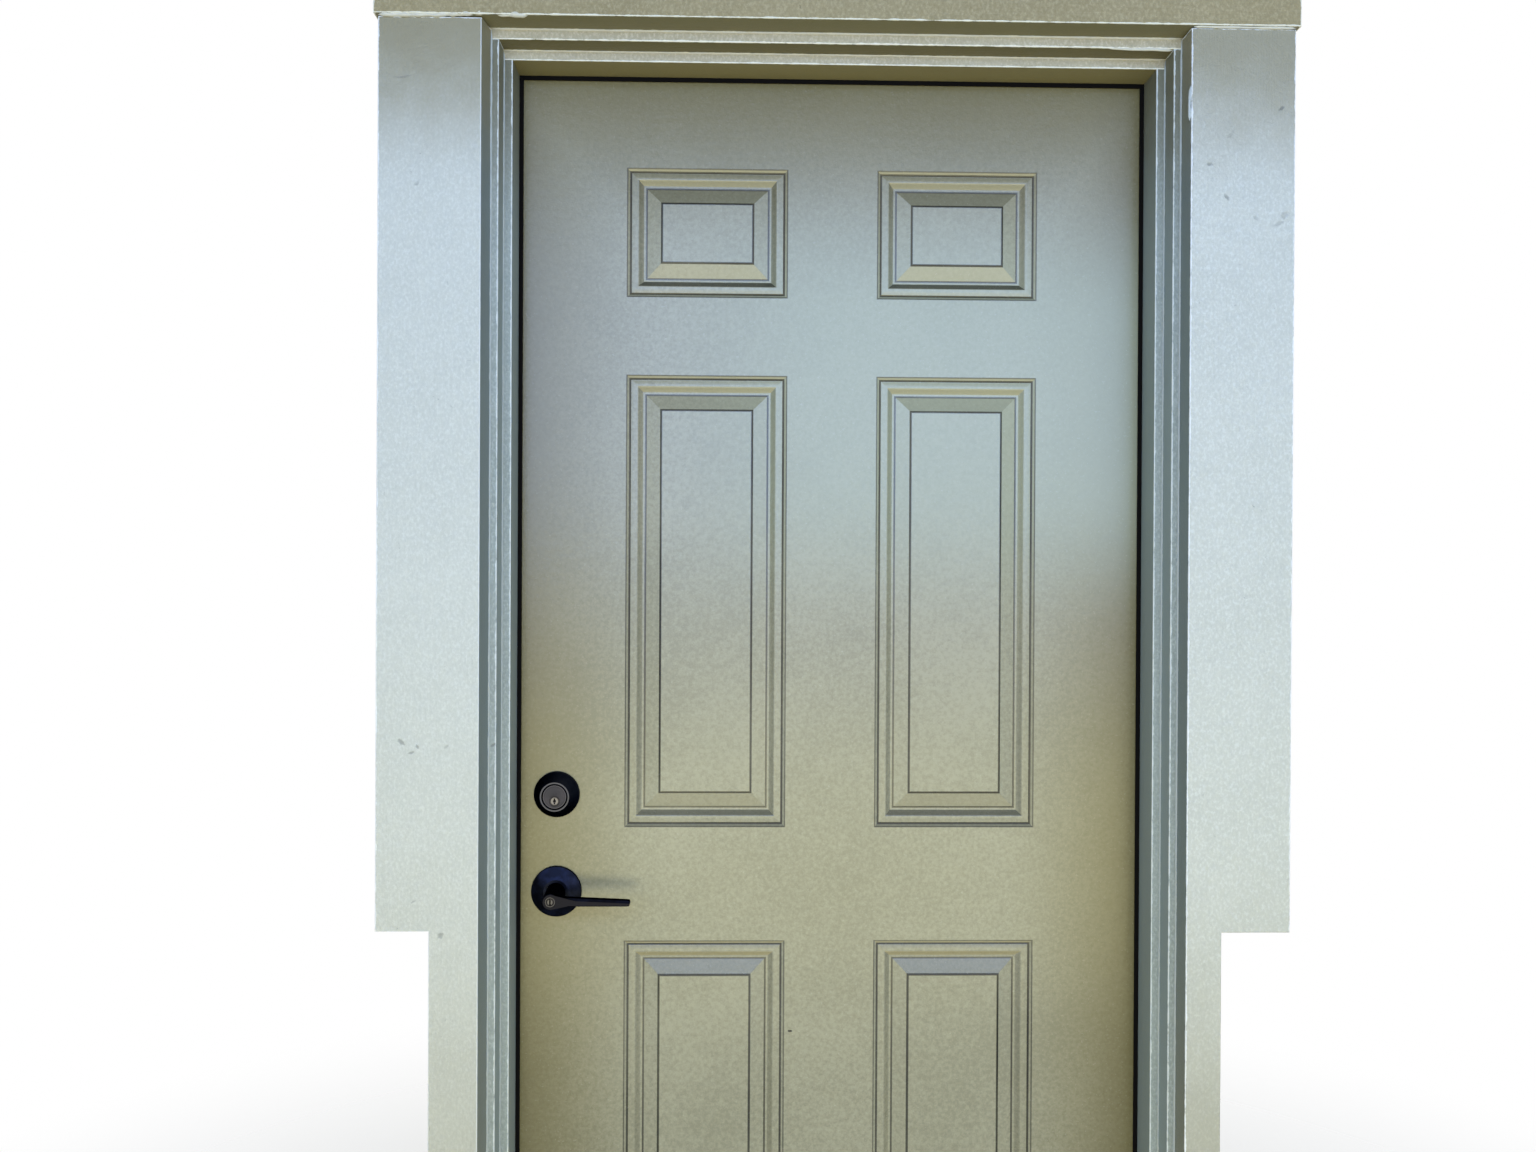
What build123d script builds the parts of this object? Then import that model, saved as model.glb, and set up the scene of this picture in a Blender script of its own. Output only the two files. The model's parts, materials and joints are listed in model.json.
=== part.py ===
from build123d import *
import os

# Six-panel steel entry door in its frame, seen from the street side.
# X runs along the doorway, Y goes into the building and Z goes up.
# The origin is at the middle of the doorway, at the jambs' front edges and under the sill.

os.makedirs("parts", exist_ok=True)

# Leaf
leaf_width = 908.0
leaf_height = 2013.0
leaf_thickness = 44.5
leaf_bottom = 36.5
leaf_gap = 3.2
skin_thickness = 0.8
skin_return = 9.0
stile_width = 35.0
rail_height = 35.0
lock_block_width = 80.0
lock_block_margin = 60.0

# Side jambs and head jamb
stop_depth = 53.0
seal_gap = 3.5
rabbet_step = 12.7
jamb_thickness = 31.75
jamb_margin = 0.6
head_housing = 9.5

# Stepped trim on the jambs' front edges
trim_width = 50.0
trim_thickness = 35.0
trim_reveal = 12.1
head_trim_reveal = 13.6

# Flat casing boards on the stepped trim
casing_width = 140.0
casing_thickness = 38.0
casing_reveal = 10.4
head_casing_reveal = 14.4
head_casing_height = 140.0
head_casing_proud = 5.0
head_casing_overhang = 5.0
casing_joint = 2.0
lock_casing_foot_width = 70.0
lock_casing_foot_height = 865.0
hinge_casing_foot_width = 48.0
hinge_casing_foot_height = 862.0
board_arris = 1.5

# Compression seal in the jambs' kerfs
seal_overlap = 5.9
seal_clearance = 0.3
seal_edge_gap = 2.0
kerf_inset = 4.5
kerf_depth = 9.0
kerf_width = 2.0
seal_leg_width = 1.6
seal_leg_length = 8.0
seal_flat = 0.3

# Sill
sill_clearance = 0.2
sill_nose = 28.0
sill_front_height = 6.0
sill_height = 17.0
sill_slope_end = 46.0
tread_thickness = 2.0
tread_lip = 5.0
tread_groove = 1.0
tread_groove_spacing = 9.0
tread_groove_count = 5
cap_height = 13.0
cap_bevel = 6.0
cap_screw_radius = 5.0
cap_screw_shank = 2.5
cap_screw_count = 4

# Sweep under the leaf
sweep_base = 1.8
sweep_clearance = 0.3
sweep_fin = 1.2
sweep_fin_count = 4
sweep_inset = 3.0

# Raised panels: faces of the rails and stiles between them
mullion_width = 128.0
panel_width = 228.0
bottom_rail_face = 241.0
lower_panel_height = 536.5
lock_rail_face = 162.5
middle_panel_height = 642.5
cross_rail_face = 111.0
top_panel_height = 182.5

# Panel moulding: widths run in from the panel's edge, drops go down from the leaf's face
lead_width = 3.8
lead_drop = 2.3
quirk_width = 1.6
quirk_drop = 3.2
ovolo_start = 6.6
ovolo_start_drop = 2.6
ovolo_end = 15.5
ovolo_end_drop = 5.2
ovolo_swell = 0.9
fillet_end = 18.0
fillet_drop = 7.2
cove_end = 25.5
moulding_drop = 8.2
cove_hollow = 0.35
bevel_start = 27.5
bevel_end = 48.0
bevel_end_drop = 2.2
moulding_width = 50.0
field_drop = 0.9

# Butt hinges
hinge_height = 101.6
hinge_thickness = 2.5
hinge_reach = 32.0
hinge_corner = 15.9
hinge_top_margin = 178.0
hinge_bottom_margin = 279.0
knuckle_radius = 6.0
knuckle_count = 5
knuckle_gap = 0.3
knuckle_relief = 0.5
pin_radius = 3.5
pin_clearance = 0.15
pin_offset = 6.5
pin_head_radius = 5.4
pin_head_height = 3.0
pin_head_arris = 1.0
mortise_clearance = 0.1

# Wood screws in hinges, strikes and faceplates
screw_head_radius = 4.4
screw_shank_radius = 2.1
screw_head_depth = 2.3
screw_clearance = 0.1
hinge_screw_length = 16.0
hinge_screw_spread = 38.0
hinge_screw_inner_spread = 14.0
hinge_screw_stagger = 11.0
hinge_screw_edge = 9.0
plate_screw_spread = 20.6
plate_screw_length = 14.0

# Bores of the lock and the deadbolt
backset = 66.0
lever_height = 885.5
deadbolt_spacing = 137.7
cross_bore_radius = 27.0
edge_bore_radius = 12.7
bore_clearance = 0.2

# Faceplates and strikes
faceplate_length = 57.2
faceplate_width = 25.4
faceplate_corner = 6.3
plate_thickness = 1.6
strike_length = 69.9
strike_width = 28.6
strike_lip_height = 30.0
strike_lip_reach = 2.4

# Latch bolt
latch_thickness = 11.1
latch_height = 16.0
latch_throw = 12.7
latch_tail = 30.0
latch_nose = 2.4
latch_face_radius = 33.3
bolt_clearance = 0.25
strike_clearance = 2.0
strike_pocket_depth = 16.0

# Deadbolt
deadbolt_thickness = 14.3
deadbolt_height = 21.0
deadbolt_throw = 25.4
deadbolt_carried = 14.6
deadbolt_corner = 4.0
deadbolt_arris = 0.75
tang_thickness = 10.0
tang_height = 22.0
tang_reach = 12.0

# Lever lockset
rose_radius = 35.6
rose_edge = 4.6
rose_rise = 9.5
rose_arris = 0.6
rose_crown = 17.5
rose_hole_clearance = 0.4
neck_radius = 13.5
neck_waist = 11.6
neck_entry = 3.0
hub_radius = 11.0
lever_projection = 62.0
hub_flare_end = 21.0
arm_length = 109.0
arm_depth = 12.5
arm_bottom = 6.0
arm_root_top = 5.2
arm_tip_top = 1.2
arm_bevel = 3.0
arm_underside_bevel = 1.0
arm_tip_radius = 2.5
spindle_radius = 7.0
spindle_clearance = 0.2
spindle_engagement = 30.0
chassis_radius = 14.5
chassis_inset = 3.0
post_radius = 4.5
post_spread = 20.0
post_length = 14.0
through_screw_radius = 2.3
through_screw_head = 4.2
through_screw_head_depth = 2.4

# Key plugs and the turn button
plug_radius = 6.6
plug_clearance = 0.15
plug_length = 22.0
plug_recess = 0.4
keyway_width = 2.2
keyway_height = 8.4
keyway_depth = 6.0
button_width = 4.0
button_length = 11.0
button_rise = 7.0

# Deadbolt cylinder, its collar and the thumbturn
collar_radius = 32.3
collar_edge = 3.5
collar_projection = 24.5
collar_rim_radius = 20.5
collar_rim_width = 2.2
collar_groove_depth = 3.5
cylinder_radius = 16.2
cylinder_projection = 24.0
cylinder_body_radius = 14.2
cylinder_reach = 13.0
cylinder_flange_radius = 24.6
cylinder_flange_thickness = 4.0
deadbolt_plug_radius = 7.4
deadbolt_plug_offset = 6.0
inner_rose_rise = 9.0
inner_rose_edge = 3.0
thumbturn_spindle_radius = 5.5
thumbturn_length = 38.0
thumbturn_width = 9.0
thumbturn_rise = 19.0
thumbturn_arris = 2.2
thumbturn_foot = 10.0
thumbturn_foot_rise = 3.0

# Planes and lines worked out from the sizes above
half_leaf = leaf_width / 2
half_rabbet = half_leaf + leaf_gap
half_stop = half_rabbet - rabbet_step
half_jamb = half_stop + jamb_thickness
leaf_front = stop_depth + seal_gap
leaf_back = leaf_front + leaf_thickness
leaf_middle = leaf_front + leaf_thickness / 2
jamb_depth = leaf_back + jamb_margin
leaf_top = leaf_bottom + leaf_height
head_rabbet = leaf_top + leaf_gap
head_stop = head_rabbet - rabbet_step
jamb_top = head_stop + jamb_thickness
half_head_jamb = half_rabbet + head_housing
trim_inner = half_stop + trim_reveal
trim_outer = trim_inner + trim_width
head_trim_bottom = head_stop + head_trim_reveal
head_trim_top = head_trim_bottom + trim_width
casing_inner = trim_inner + casing_reveal
casing_outer = casing_inner + casing_width
head_casing_bottom = head_trim_bottom + head_casing_reveal
casing_top = head_casing_bottom - casing_joint
half_head_casing = casing_outer + head_casing_overhang
half_core = half_leaf - stile_width
core_bottom = leaf_bottom + rail_height
core_top = leaf_top - rail_height
core_front = leaf_front + skin_thickness
core_back = leaf_back - skin_thickness
deadbolt_height_z = lever_height + deadbolt_spacing
lock_x = backset - half_leaf
deadbolt_length = deadbolt_throw + deadbolt_carried
cap_top = sill_height + cap_height
pin_x = half_leaf + leaf_gap / 2
pin_y = leaf_back + pin_offset
plate_front = leaf_back - hinge_reach
leaf_mirror = Plane.XZ.offset(-leaf_middle)
plug_centre_z = deadbolt_height_z - deadbolt_plug_offset

hinge_top_z = leaf_top - hinge_top_margin - hinge_height / 2
hinge_bottom_z = leaf_bottom + hinge_bottom_margin + hinge_height / 2
hinges = {
    "top_hinge": hinge_top_z,
    "middle_hinge": (hinge_top_z + hinge_bottom_z) / 2,
    "bottom_hinge": hinge_bottom_z,
}

panel_x = (mullion_width + panel_width) / 2
lower_panel_z = leaf_bottom + bottom_rail_face + lower_panel_height / 2
middle_panel_z = lower_panel_z + (lower_panel_height + middle_panel_height) / 2 + lock_rail_face
top_panel_z = middle_panel_z + (middle_panel_height + top_panel_height) / 2 + cross_rail_face
panel_rows = (
    (lower_panel_z, lower_panel_height),
    (middle_panel_z, middle_panel_height),
    (top_panel_z, top_panel_height),
)


def save(part, name):
    """Name a finished piece and write it out."""
    part.label = name
    export_step(part, f"parts/{name}.step")


def block(x_range, y_range, z_range, mode=Mode.ADD):
    """A straight block between two values on each axis, in the part being built."""
    spans = (x_range, y_range, z_range)
    centre = tuple((low + high) / 2 for low, high in spans)
    size = [high - low for low, high in spans]
    with Locations(centre):
        Box(*size, mode=mode)


def turned(axis_x, axis_z, half_section, mode=Mode.ADD):
    """A turned form on a line through the leaf, from its half section of radius and depth."""
    with BuildSketch(Plane(origin=(axis_x, 0, axis_z))) as half:
        with BuildLine():
            Polyline(*half_section, close=True)
        make_face()
    revolve(half.sketch, axis=Axis((axis_x, 0, axis_z), (0, 1, 0)), mode=mode)


def rod(start, direction, radius, length, mode=Mode.ADD):
    """A round rod, or a bore, from a point and in a direction."""
    with BuildSketch(Plane(origin=start, z_dir=direction)) as circle:
        Circle(radius)
    extrude(circle.sketch, amount=length, mode=mode)


def countersunk_screw(point, direction, length, margin=0.0, mode=Mode.ADD):
    """A countersunk screw, or its hole where a margin is given, from its head's face."""
    seat = Plane(origin=point, z_dir=direction)
    with BuildSketch(seat) as head:
        Circle(screw_head_radius + margin)
    with BuildSketch(seat.offset(screw_head_depth)) as waist:
        Circle(screw_shank_radius + margin)
    loft([head.sketch.face(), waist.sketch.face()], mode=mode)
    rod(seat.offset(screw_head_depth).origin, direction, screw_shank_radius + margin,
        length - screw_head_depth, mode=mode)


def pan_screw(point, direction, length, margin=0.0, mode=Mode.ADD):
    """A machine screw with a low round head, or its hole where a margin is given."""
    rod(point, direction, through_screw_head + margin, through_screw_head_depth + margin, mode=mode)
    rod(point, direction, through_screw_radius + margin, length, mode=mode)


def hinge_screw_points(plate_x, centre_z):
    """Four staggered screw places on a hinge plate."""
    spreads = (hinge_screw_spread, hinge_screw_inner_spread)
    for row, spread in enumerate(spreads):
        hole_y = plate_front + hinge_screw_edge + row * hinge_screw_stagger
        for side in (1, -1):
            yield Vector(plate_x, hole_y, centre_z + side * spread)


def plate_screw_points(plate_x, centre_z):
    """Two screw places, above and below a faceplate's or a strike's opening."""
    for side in (1, -1):
        yield Vector(plate_x, leaf_middle, centre_z + side * plate_screw_spread)


# Raised panel

def moulding_side(inward, half_reach, half_length):
    """One side of a panel's moulding as a cut into the face, mitred at both ends."""
    along = inward.cross(Vector(0, 1, 0))
    edge_middle = inward * -half_reach
    ovolo_middle = ((ovolo_start + ovolo_end) / 2, (ovolo_start_drop + ovolo_end_drop) / 2 - ovolo_swell)
    cove_middle = ((fillet_end + cove_end) / 2, (fillet_drop + moulding_drop) / 2 + cove_hollow)
    with BuildPart() as side:
        with BuildSketch(Plane(origin=edge_middle, x_dir=inward, z_dir=along)):
            with BuildLine():
                Polyline(
                    (0, 0),
                    (lead_width, lead_drop),
                    (lead_width + quirk_width, quirk_drop),
                    (ovolo_start, ovolo_start_drop),
                )
                ThreePointArc((ovolo_start, ovolo_start_drop), ovolo_middle, (ovolo_end, ovolo_end_drop))
                Line((ovolo_end, ovolo_end_drop), (fillet_end, fillet_drop))
                ThreePointArc((fillet_end, fillet_drop), cove_middle, (cove_end, moulding_drop))
                Polyline(
                    (cove_end, moulding_drop),
                    (bevel_start, moulding_drop),
                    (bevel_end, bevel_end_drop),
                    (moulding_width, field_drop),
                    (moulding_width, 0),
                    (0, 0),
                )
            make_face()
        extrude(amount=half_length, both=True)
        for end in (1, -1):
            corner = edge_middle + along * (end * half_length)
            split(bisect_by=Plane(origin=corner, z_dir=inward + along * end), keep=Keep.BOTTOM)
    return side.part


def panel_relief(height):
    """The hollow of one raised panel, from the face down, with its middle at the origin."""
    half_width = panel_width / 2
    half_height = height / 2
    sides = (
        moulding_side(Vector(0, 0, -1), half_height, half_width),
        moulding_side(Vector(0, 0, 1), half_height, half_width),
        moulding_side(Vector(1, 0, 0), half_width, half_height),
        moulding_side(Vector(-1, 0, 0), half_width, half_height),
    )
    half_field_width = half_width - moulding_width
    half_field_height = half_height - moulding_width
    with BuildPart() as relief:
        block(
            (-half_field_width, half_field_width),
            (0, field_drop),
            (-half_field_height, half_field_height),
        )
        for side in sides:
            add(side)
    return relief.part


reliefs = [(centre_z, panel_relief(height)) for centre_z, height in panel_rows]


def place_reliefs(face_y, mode):
    """Put the six panels' hollows on a plane of the street side, added or cut."""
    for centre_z, relief in reliefs:
        for side in (1, -1):
            add(relief.moved(Location((side * panel_x, face_y, centre_z))), mode=mode)


# Leaf: pressed steel skins

def cross_bores(y_range):
    """Cut the two large bores of the lock and the deadbolt through a range of depth."""
    for bore_z in (lever_height, deadbolt_height_z):
        rod((lock_x, y_range[0], bore_z), (0, 1, 0), cross_bore_radius, y_range[1] - y_range[0],
            mode=Mode.SUBTRACT)


with BuildPart() as skin_blank:
    with BuildSketch(Plane.XY.offset(leaf_bottom)):
        with BuildLine():
            Polyline(
                (-half_leaf, leaf_front),
                (half_leaf, leaf_front),
                (half_leaf, leaf_front + skin_return),
                (half_leaf - skin_thickness, leaf_front + skin_return),
                (half_leaf - skin_thickness, core_front),
                (-half_leaf + skin_thickness, core_front),
                (-half_leaf + skin_thickness, leaf_front + skin_return),
                (-half_leaf, leaf_front + skin_return),
                close=True,
            )
        make_face()
    extrude(amount=leaf_height)
    place_reliefs(core_front, Mode.ADD)
    place_reliefs(leaf_front, Mode.SUBTRACT)
    cross_bores((leaf_front, leaf_middle))

with BuildPart() as outer_skin:
    add(skin_blank.part)
save(outer_skin.part, "outer_skin")


def hinge_mortise(plate_x, depth, centre_z):
    """Cut the shallow recess of a hinge plate, rounded at its inner corners."""
    recess_front = plate_front - mortise_clearance
    recess_half = hinge_height / 2 + mortise_clearance
    recess_end = pin_y
    with BuildSketch(Plane.YZ.offset(plate_x)) as recess:
        with Locations(((recess_front + recess_end) / 2, centre_z)):
            Rectangle(recess_end - recess_front, 2 * recess_half)
        fillet(recess.vertices().group_by(Axis.X)[0], hinge_corner)
    extrude(recess.sketch, amount=depth, mode=Mode.SUBTRACT)


with BuildPart() as inner_skin:
    add(mirror(skin_blank.part, about=leaf_mirror, mode=Mode.PRIVATE))
    for hinge_z in hinges.values():
        hinge_mortise(half_leaf, -hinge_thickness, hinge_z)
save(inner_skin.part, "inner_skin")

# Leaf: foam core, stiles, rails and lock block

lock_block_bottom = lever_height - cross_bore_radius - lock_block_margin
lock_block_top = deadbolt_height_z + cross_bore_radius + lock_block_margin
lock_block_end = lock_block_width - half_core

with BuildPart() as foam_core:
    block((-half_core, half_core), (core_front, core_back), (core_bottom, core_top))
    place_reliefs(core_front, Mode.SUBTRACT)
    for relief_z, relief in reliefs:
        for side in (1, -1):
            sunk = relief.moved(Location((side * panel_x, core_front, relief_z)))
            add(mirror(sunk, about=leaf_mirror, mode=Mode.PRIVATE), mode=Mode.SUBTRACT)
    block((-half_core, lock_block_end), (core_front, core_back), (lock_block_bottom, lock_block_top),
          mode=Mode.SUBTRACT)
save(foam_core.part, "foam_core")


def stile_section(side):
    """Plan of a stile, set back under the skins' returned edges."""
    outer = side * half_leaf
    under_skin = side * (half_leaf - skin_thickness)
    inner = side * half_core
    with BuildSketch(Plane.XY.offset(leaf_bottom)) as section:
        with BuildLine():
            Polyline(
                (inner, core_front),
                (under_skin, core_front),
                (under_skin, leaf_front + skin_return),
                (outer, leaf_front + skin_return),
                (outer, leaf_back - skin_return),
                (under_skin, leaf_back - skin_return),
                (under_skin, core_back),
                (inner, core_back),
                close=True,
            )
        make_face()
    return section.sketch


def faceplate_recess(plate_x, centre_z, length, width, depth, mode=Mode.SUBTRACT):
    """A faceplate or strike, or its recess, with round corners, cut or grown along X."""
    with BuildSketch(Plane.YZ.offset(plate_x)) as outline:
        with Locations((leaf_middle, centre_z)):
            RectangleRounded(width, length, faceplate_corner)
    extrude(outline.sketch, amount=depth, mode=mode)


with BuildPart() as lock_stile:
    extrude(stile_section(-1), amount=leaf_height)
    for bore_z in (lever_height, deadbolt_height_z):
        faceplate_recess(-half_leaf, bore_z, faceplate_length + 2 * mortise_clearance,
                         faceplate_width + 2 * mortise_clearance, plate_thickness)
        rod((-half_leaf, leaf_middle, bore_z), (1, 0, 0), edge_bore_radius, stile_width, mode=Mode.SUBTRACT)
        for point in plate_screw_points(-half_leaf, bore_z):
            countersunk_screw(point, (1, 0, 0), plate_screw_length, screw_clearance, mode=Mode.SUBTRACT)
save(lock_stile.part, "lock_stile")

with BuildPart() as hinge_stile:
    extrude(stile_section(1), amount=leaf_height)
    for hinge_z in hinges.values():
        hinge_mortise(half_leaf, -hinge_thickness, hinge_z)
        for point in hinge_screw_points(half_leaf, hinge_z):
            countersunk_screw(point, (-1, 0, 0), hinge_screw_length, screw_clearance, mode=Mode.SUBTRACT)
save(hinge_stile.part, "hinge_stile")

with BuildPart() as top_rail:
    with BuildSketch(Plane.XY.offset(core_top)):
        with Locations((0, leaf_middle)):
            Rectangle(2 * half_core, core_back - core_front)
    extrude(amount=rail_height)
save(top_rail.part, "top_rail")

with BuildPart() as bottom_rail:
    with BuildSketch(Plane.XY.offset(leaf_bottom)):
        with Locations((0, leaf_middle)):
            Rectangle(2 * half_core, core_back - core_front)
    extrude(amount=rail_height)
save(bottom_rail.part, "bottom_rail")

with BuildPart() as lock_block:
    block((-half_core, lock_block_end), (core_front, core_back), (lock_block_bottom, lock_block_top))
    cross_bores((core_front, core_back))
    for bore_z in (lever_height, deadbolt_height_z):
        rod((-half_core, leaf_middle, bore_z), (1, 0, 0), edge_bore_radius, lock_x + half_core,
            mode=Mode.SUBTRACT)
save(lock_block.part, "lock_block")

# Sweep under the leaf, a flat base with fins down to the sill cap

sweep_bottom = cap_top + sweep_clearance
half_sweep = half_leaf - sweep_inset
sweep_front = core_front + sweep_inset
sweep_back = core_back - sweep_inset
fin_spacing = (sweep_back - sweep_front - sweep_fin) / (sweep_fin_count - 1)

with BuildPart() as door_sweep:
    block((-half_sweep, half_sweep), (sweep_front, sweep_back), (leaf_bottom - sweep_base, leaf_bottom))
    for fin in range(sweep_fin_count):
        fin_front = sweep_front + fin * fin_spacing
        block((-half_sweep, half_sweep), (fin_front, fin_front + sweep_fin),
              (sweep_bottom, leaf_bottom - sweep_base))
save(door_sweep.part, "door_sweep")

# Hinges: five knuckles each, three on the frame's plate and two on the leaf's

knuckle_pitch = hinge_height / knuckle_count


def knuckle_span(index, centre_z):
    """Lowest and highest level of one knuckle, counted from the bottom."""
    low = centre_z - hinge_height / 2 + index * knuckle_pitch
    return low + knuckle_gap / 2, low + knuckle_pitch - knuckle_gap / 2


def hinge_plate(plate_x, thickness, centre_z, own_knuckles):
    """One hinge plate with its knuckles, bored for the pin and drilled for its screws."""
    direction = (1, 0, 0) if thickness > 0 else (-1, 0, 0)
    with BuildPart() as plate:
        with BuildSketch(Plane.YZ.offset(plate_x)) as outline:
            with Locations(((plate_front + pin_y) / 2, centre_z)):
                Rectangle(pin_y - plate_front, hinge_height)
            fillet(outline.vertices().group_by(Axis.X)[0], hinge_corner)
        extrude(amount=thickness)
        for index in range(knuckle_count):
            low, high = knuckle_span(index, centre_z)
            if index % 2 == own_knuckles:
                rod((pin_x, pin_y, low), (0, 0, 1), knuckle_radius, high - low)
            else:
                rod((pin_x, pin_y, low - knuckle_gap), (0, 0, 1), knuckle_radius + knuckle_relief,
                    high - low + 2 * knuckle_gap, mode=Mode.SUBTRACT)
        rod((pin_x, pin_y, centre_z - hinge_height), (0, 0, 1), pin_radius + pin_clearance,
            2 * hinge_height, mode=Mode.SUBTRACT)
        for point in hinge_screw_points(plate_x, centre_z):
            countersunk_screw(point, direction, hinge_screw_length, screw_clearance, mode=Mode.SUBTRACT)
    return plate.part


def hinge_pin(centre_z):
    """A hinge pin with a flat round head above the knuckles and a small foot below them."""
    top = centre_z + hinge_height / 2
    bottom = centre_z - hinge_height / 2
    with BuildPart() as pin:
        rod((pin_x, pin_y, bottom), (0, 0, 1), pin_radius, hinge_height)
        rod((pin_x, pin_y, top), (0, 0, 1), pin_head_radius, pin_head_height)
        rod((pin_x, pin_y, bottom - pin_head_height), (0, 0, 1), pin_head_radius, pin_head_height)
        levels = pin.faces().sort_by(Axis.Z)
        chamfer(levels[0].edges() + levels[-1].edges(), pin_head_arris)
    return pin.part


for hinge_name, hinge_z in hinges.items():
    save(hinge_plate(half_rabbet, hinge_thickness, hinge_z, 0), f"{hinge_name}_frame_leaf")
    save(hinge_plate(half_leaf, -hinge_thickness, hinge_z, 1), f"{hinge_name}_door_leaf")
    save(hinge_pin(hinge_z), f"{hinge_name}_pin")

with BuildPart() as frame_hinge_screws:
    for hinge_z in hinges.values():
        for point in hinge_screw_points(half_rabbet, hinge_z):
            countersunk_screw(point, (1, 0, 0), hinge_screw_length)
save(frame_hinge_screws.part, "frame_hinge_screws")

with BuildPart() as door_hinge_screws:
    for hinge_z in hinges.values():
        for point in hinge_screw_points(half_leaf, hinge_z):
            countersunk_screw(point, (-1, 0, 0), hinge_screw_length)
save(door_hinge_screws.part, "door_hinge_screws")

# Side jambs, with a stop in front, a rabbet for the leaf and a housing for the head jamb


def side_jamb(side):
    """One side jamb, full height, with its housing at the head and its kerf for the seal."""
    kerf_x = side * (half_stop + kerf_inset)
    with BuildPart() as jamb:
        with BuildSketch():
            with BuildLine():
                Polyline(
                    (side * half_stop, 0),
                    (side * half_jamb, 0),
                    (side * half_jamb, jamb_depth),
                    (side * half_rabbet, jamb_depth),
                    (side * half_rabbet, stop_depth),
                    (side * half_stop, stop_depth),
                    close=True,
                )
            make_face()
        extrude(amount=jamb_top)
        housing_x = sorted((side * half_stop, side * half_head_jamb))
        block(housing_x, (0, stop_depth), (head_stop, jamb_top), mode=Mode.SUBTRACT)
        block(housing_x, (stop_depth, jamb_depth), (head_rabbet, jamb_top), mode=Mode.SUBTRACT)
        block((kerf_x - kerf_width / 2, kerf_x + kerf_width / 2), (stop_depth - kerf_depth, stop_depth),
              (0, head_stop), mode=Mode.SUBTRACT)
    return jamb.part


def bolt_pocket(centre_z, thickness, height, depth):
    """Cut the pocket behind a strike, a little larger than the bolt that enters it."""
    block((-half_rabbet - depth, -half_rabbet),
          (leaf_middle - thickness / 2 - strike_clearance, leaf_middle + thickness / 2 + strike_clearance),
          (centre_z - height / 2 - strike_clearance, centre_z + height / 2 + strike_clearance),
          mode=Mode.SUBTRACT)


with BuildPart() as lock_jamb:
    add(side_jamb(-1))
    for bore_z in (lever_height, deadbolt_height_z):
        faceplate_recess(-half_rabbet, bore_z, strike_length + 2 * mortise_clearance,
                         strike_width + 2 * mortise_clearance, -plate_thickness)
        for side in (1, -1):
            point = Vector(-half_rabbet, leaf_middle, bore_z + side * (strike_length / 2 - faceplate_corner))
            countersunk_screw(point, (-1, 0, 0), plate_screw_length, screw_clearance, mode=Mode.SUBTRACT)
    block((-half_rabbet - plate_thickness, -half_rabbet), (leaf_middle, jamb_depth),
          (lever_height - strike_lip_height / 2 - mortise_clearance,
           lever_height + strike_lip_height / 2 + mortise_clearance), mode=Mode.SUBTRACT)
    bolt_pocket(lever_height, latch_thickness, latch_height, strike_pocket_depth)
    bolt_pocket(deadbolt_height_z, deadbolt_thickness, deadbolt_height, half_jamb - half_rabbet)
save(lock_jamb.part, "lock_jamb")

with BuildPart() as hinge_jamb:
    add(side_jamb(1))
    for hinge_z in hinges.values():
        hinge_mortise(half_rabbet, hinge_thickness, hinge_z)
        for point in hinge_screw_points(half_rabbet, hinge_z):
            countersunk_screw(point, (1, 0, 0), hinge_screw_length, screw_clearance, mode=Mode.SUBTRACT)
save(hinge_jamb.part, "hinge_jamb")

with BuildPart() as head_jamb:
    with BuildSketch(Plane.YZ):
        with BuildLine():
            Polyline(
                (0, head_stop),
                (stop_depth, head_stop),
                (stop_depth, head_rabbet),
                (jamb_depth, head_rabbet),
                (jamb_depth, jamb_top),
                (0, jamb_top),
                close=True,
            )
        make_face()
    extrude(amount=half_head_jamb, both=True)
    kerf_z = head_stop + kerf_inset
    block((-half_head_jamb, half_head_jamb), (stop_depth - kerf_depth, stop_depth),
          (kerf_z - kerf_width / 2, kerf_z + kerf_width / 2), mode=Mode.SUBTRACT)
save(head_jamb.part, "head_jamb")

# Compression seal: a flat bulb behind the stop, with a leg pressed into the kerf

seal_thickness = seal_gap - seal_clearance
bulb_radius = (seal_thickness - seal_flat) / 2
seal_leg_middle = stop_depth + seal_thickness / 4 - seal_leg_length / 2
seal_leg_reach = seal_leg_length + seal_thickness / 2
half_seal = half_rabbet - seal_edge_gap
head_seal_bottom = head_stop - seal_overlap
head_seal_top = head_rabbet - seal_edge_gap


def side_seal(side):
    """The seal on one side jamb, from the sill cap up to the head seal."""
    bulb_x = sorted((side * (half_stop - seal_overlap), side * half_seal))
    kerf_x = side * (half_stop + kerf_inset)
    with BuildPart() as seal:
        with BuildSketch(Plane.XY.offset(cap_top)):
            with Locations(((bulb_x[0] + bulb_x[1]) / 2, stop_depth + seal_thickness / 2)):
                RectangleRounded(bulb_x[1] - bulb_x[0], seal_thickness, bulb_radius)
            with Locations((kerf_x, seal_leg_middle)):
                Rectangle(seal_leg_width, seal_leg_reach)
        extrude(amount=head_seal_bottom - cap_top)
    return seal.part


save(side_seal(-1), "lock_weatherstrip")
save(side_seal(1), "hinge_weatherstrip")

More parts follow.
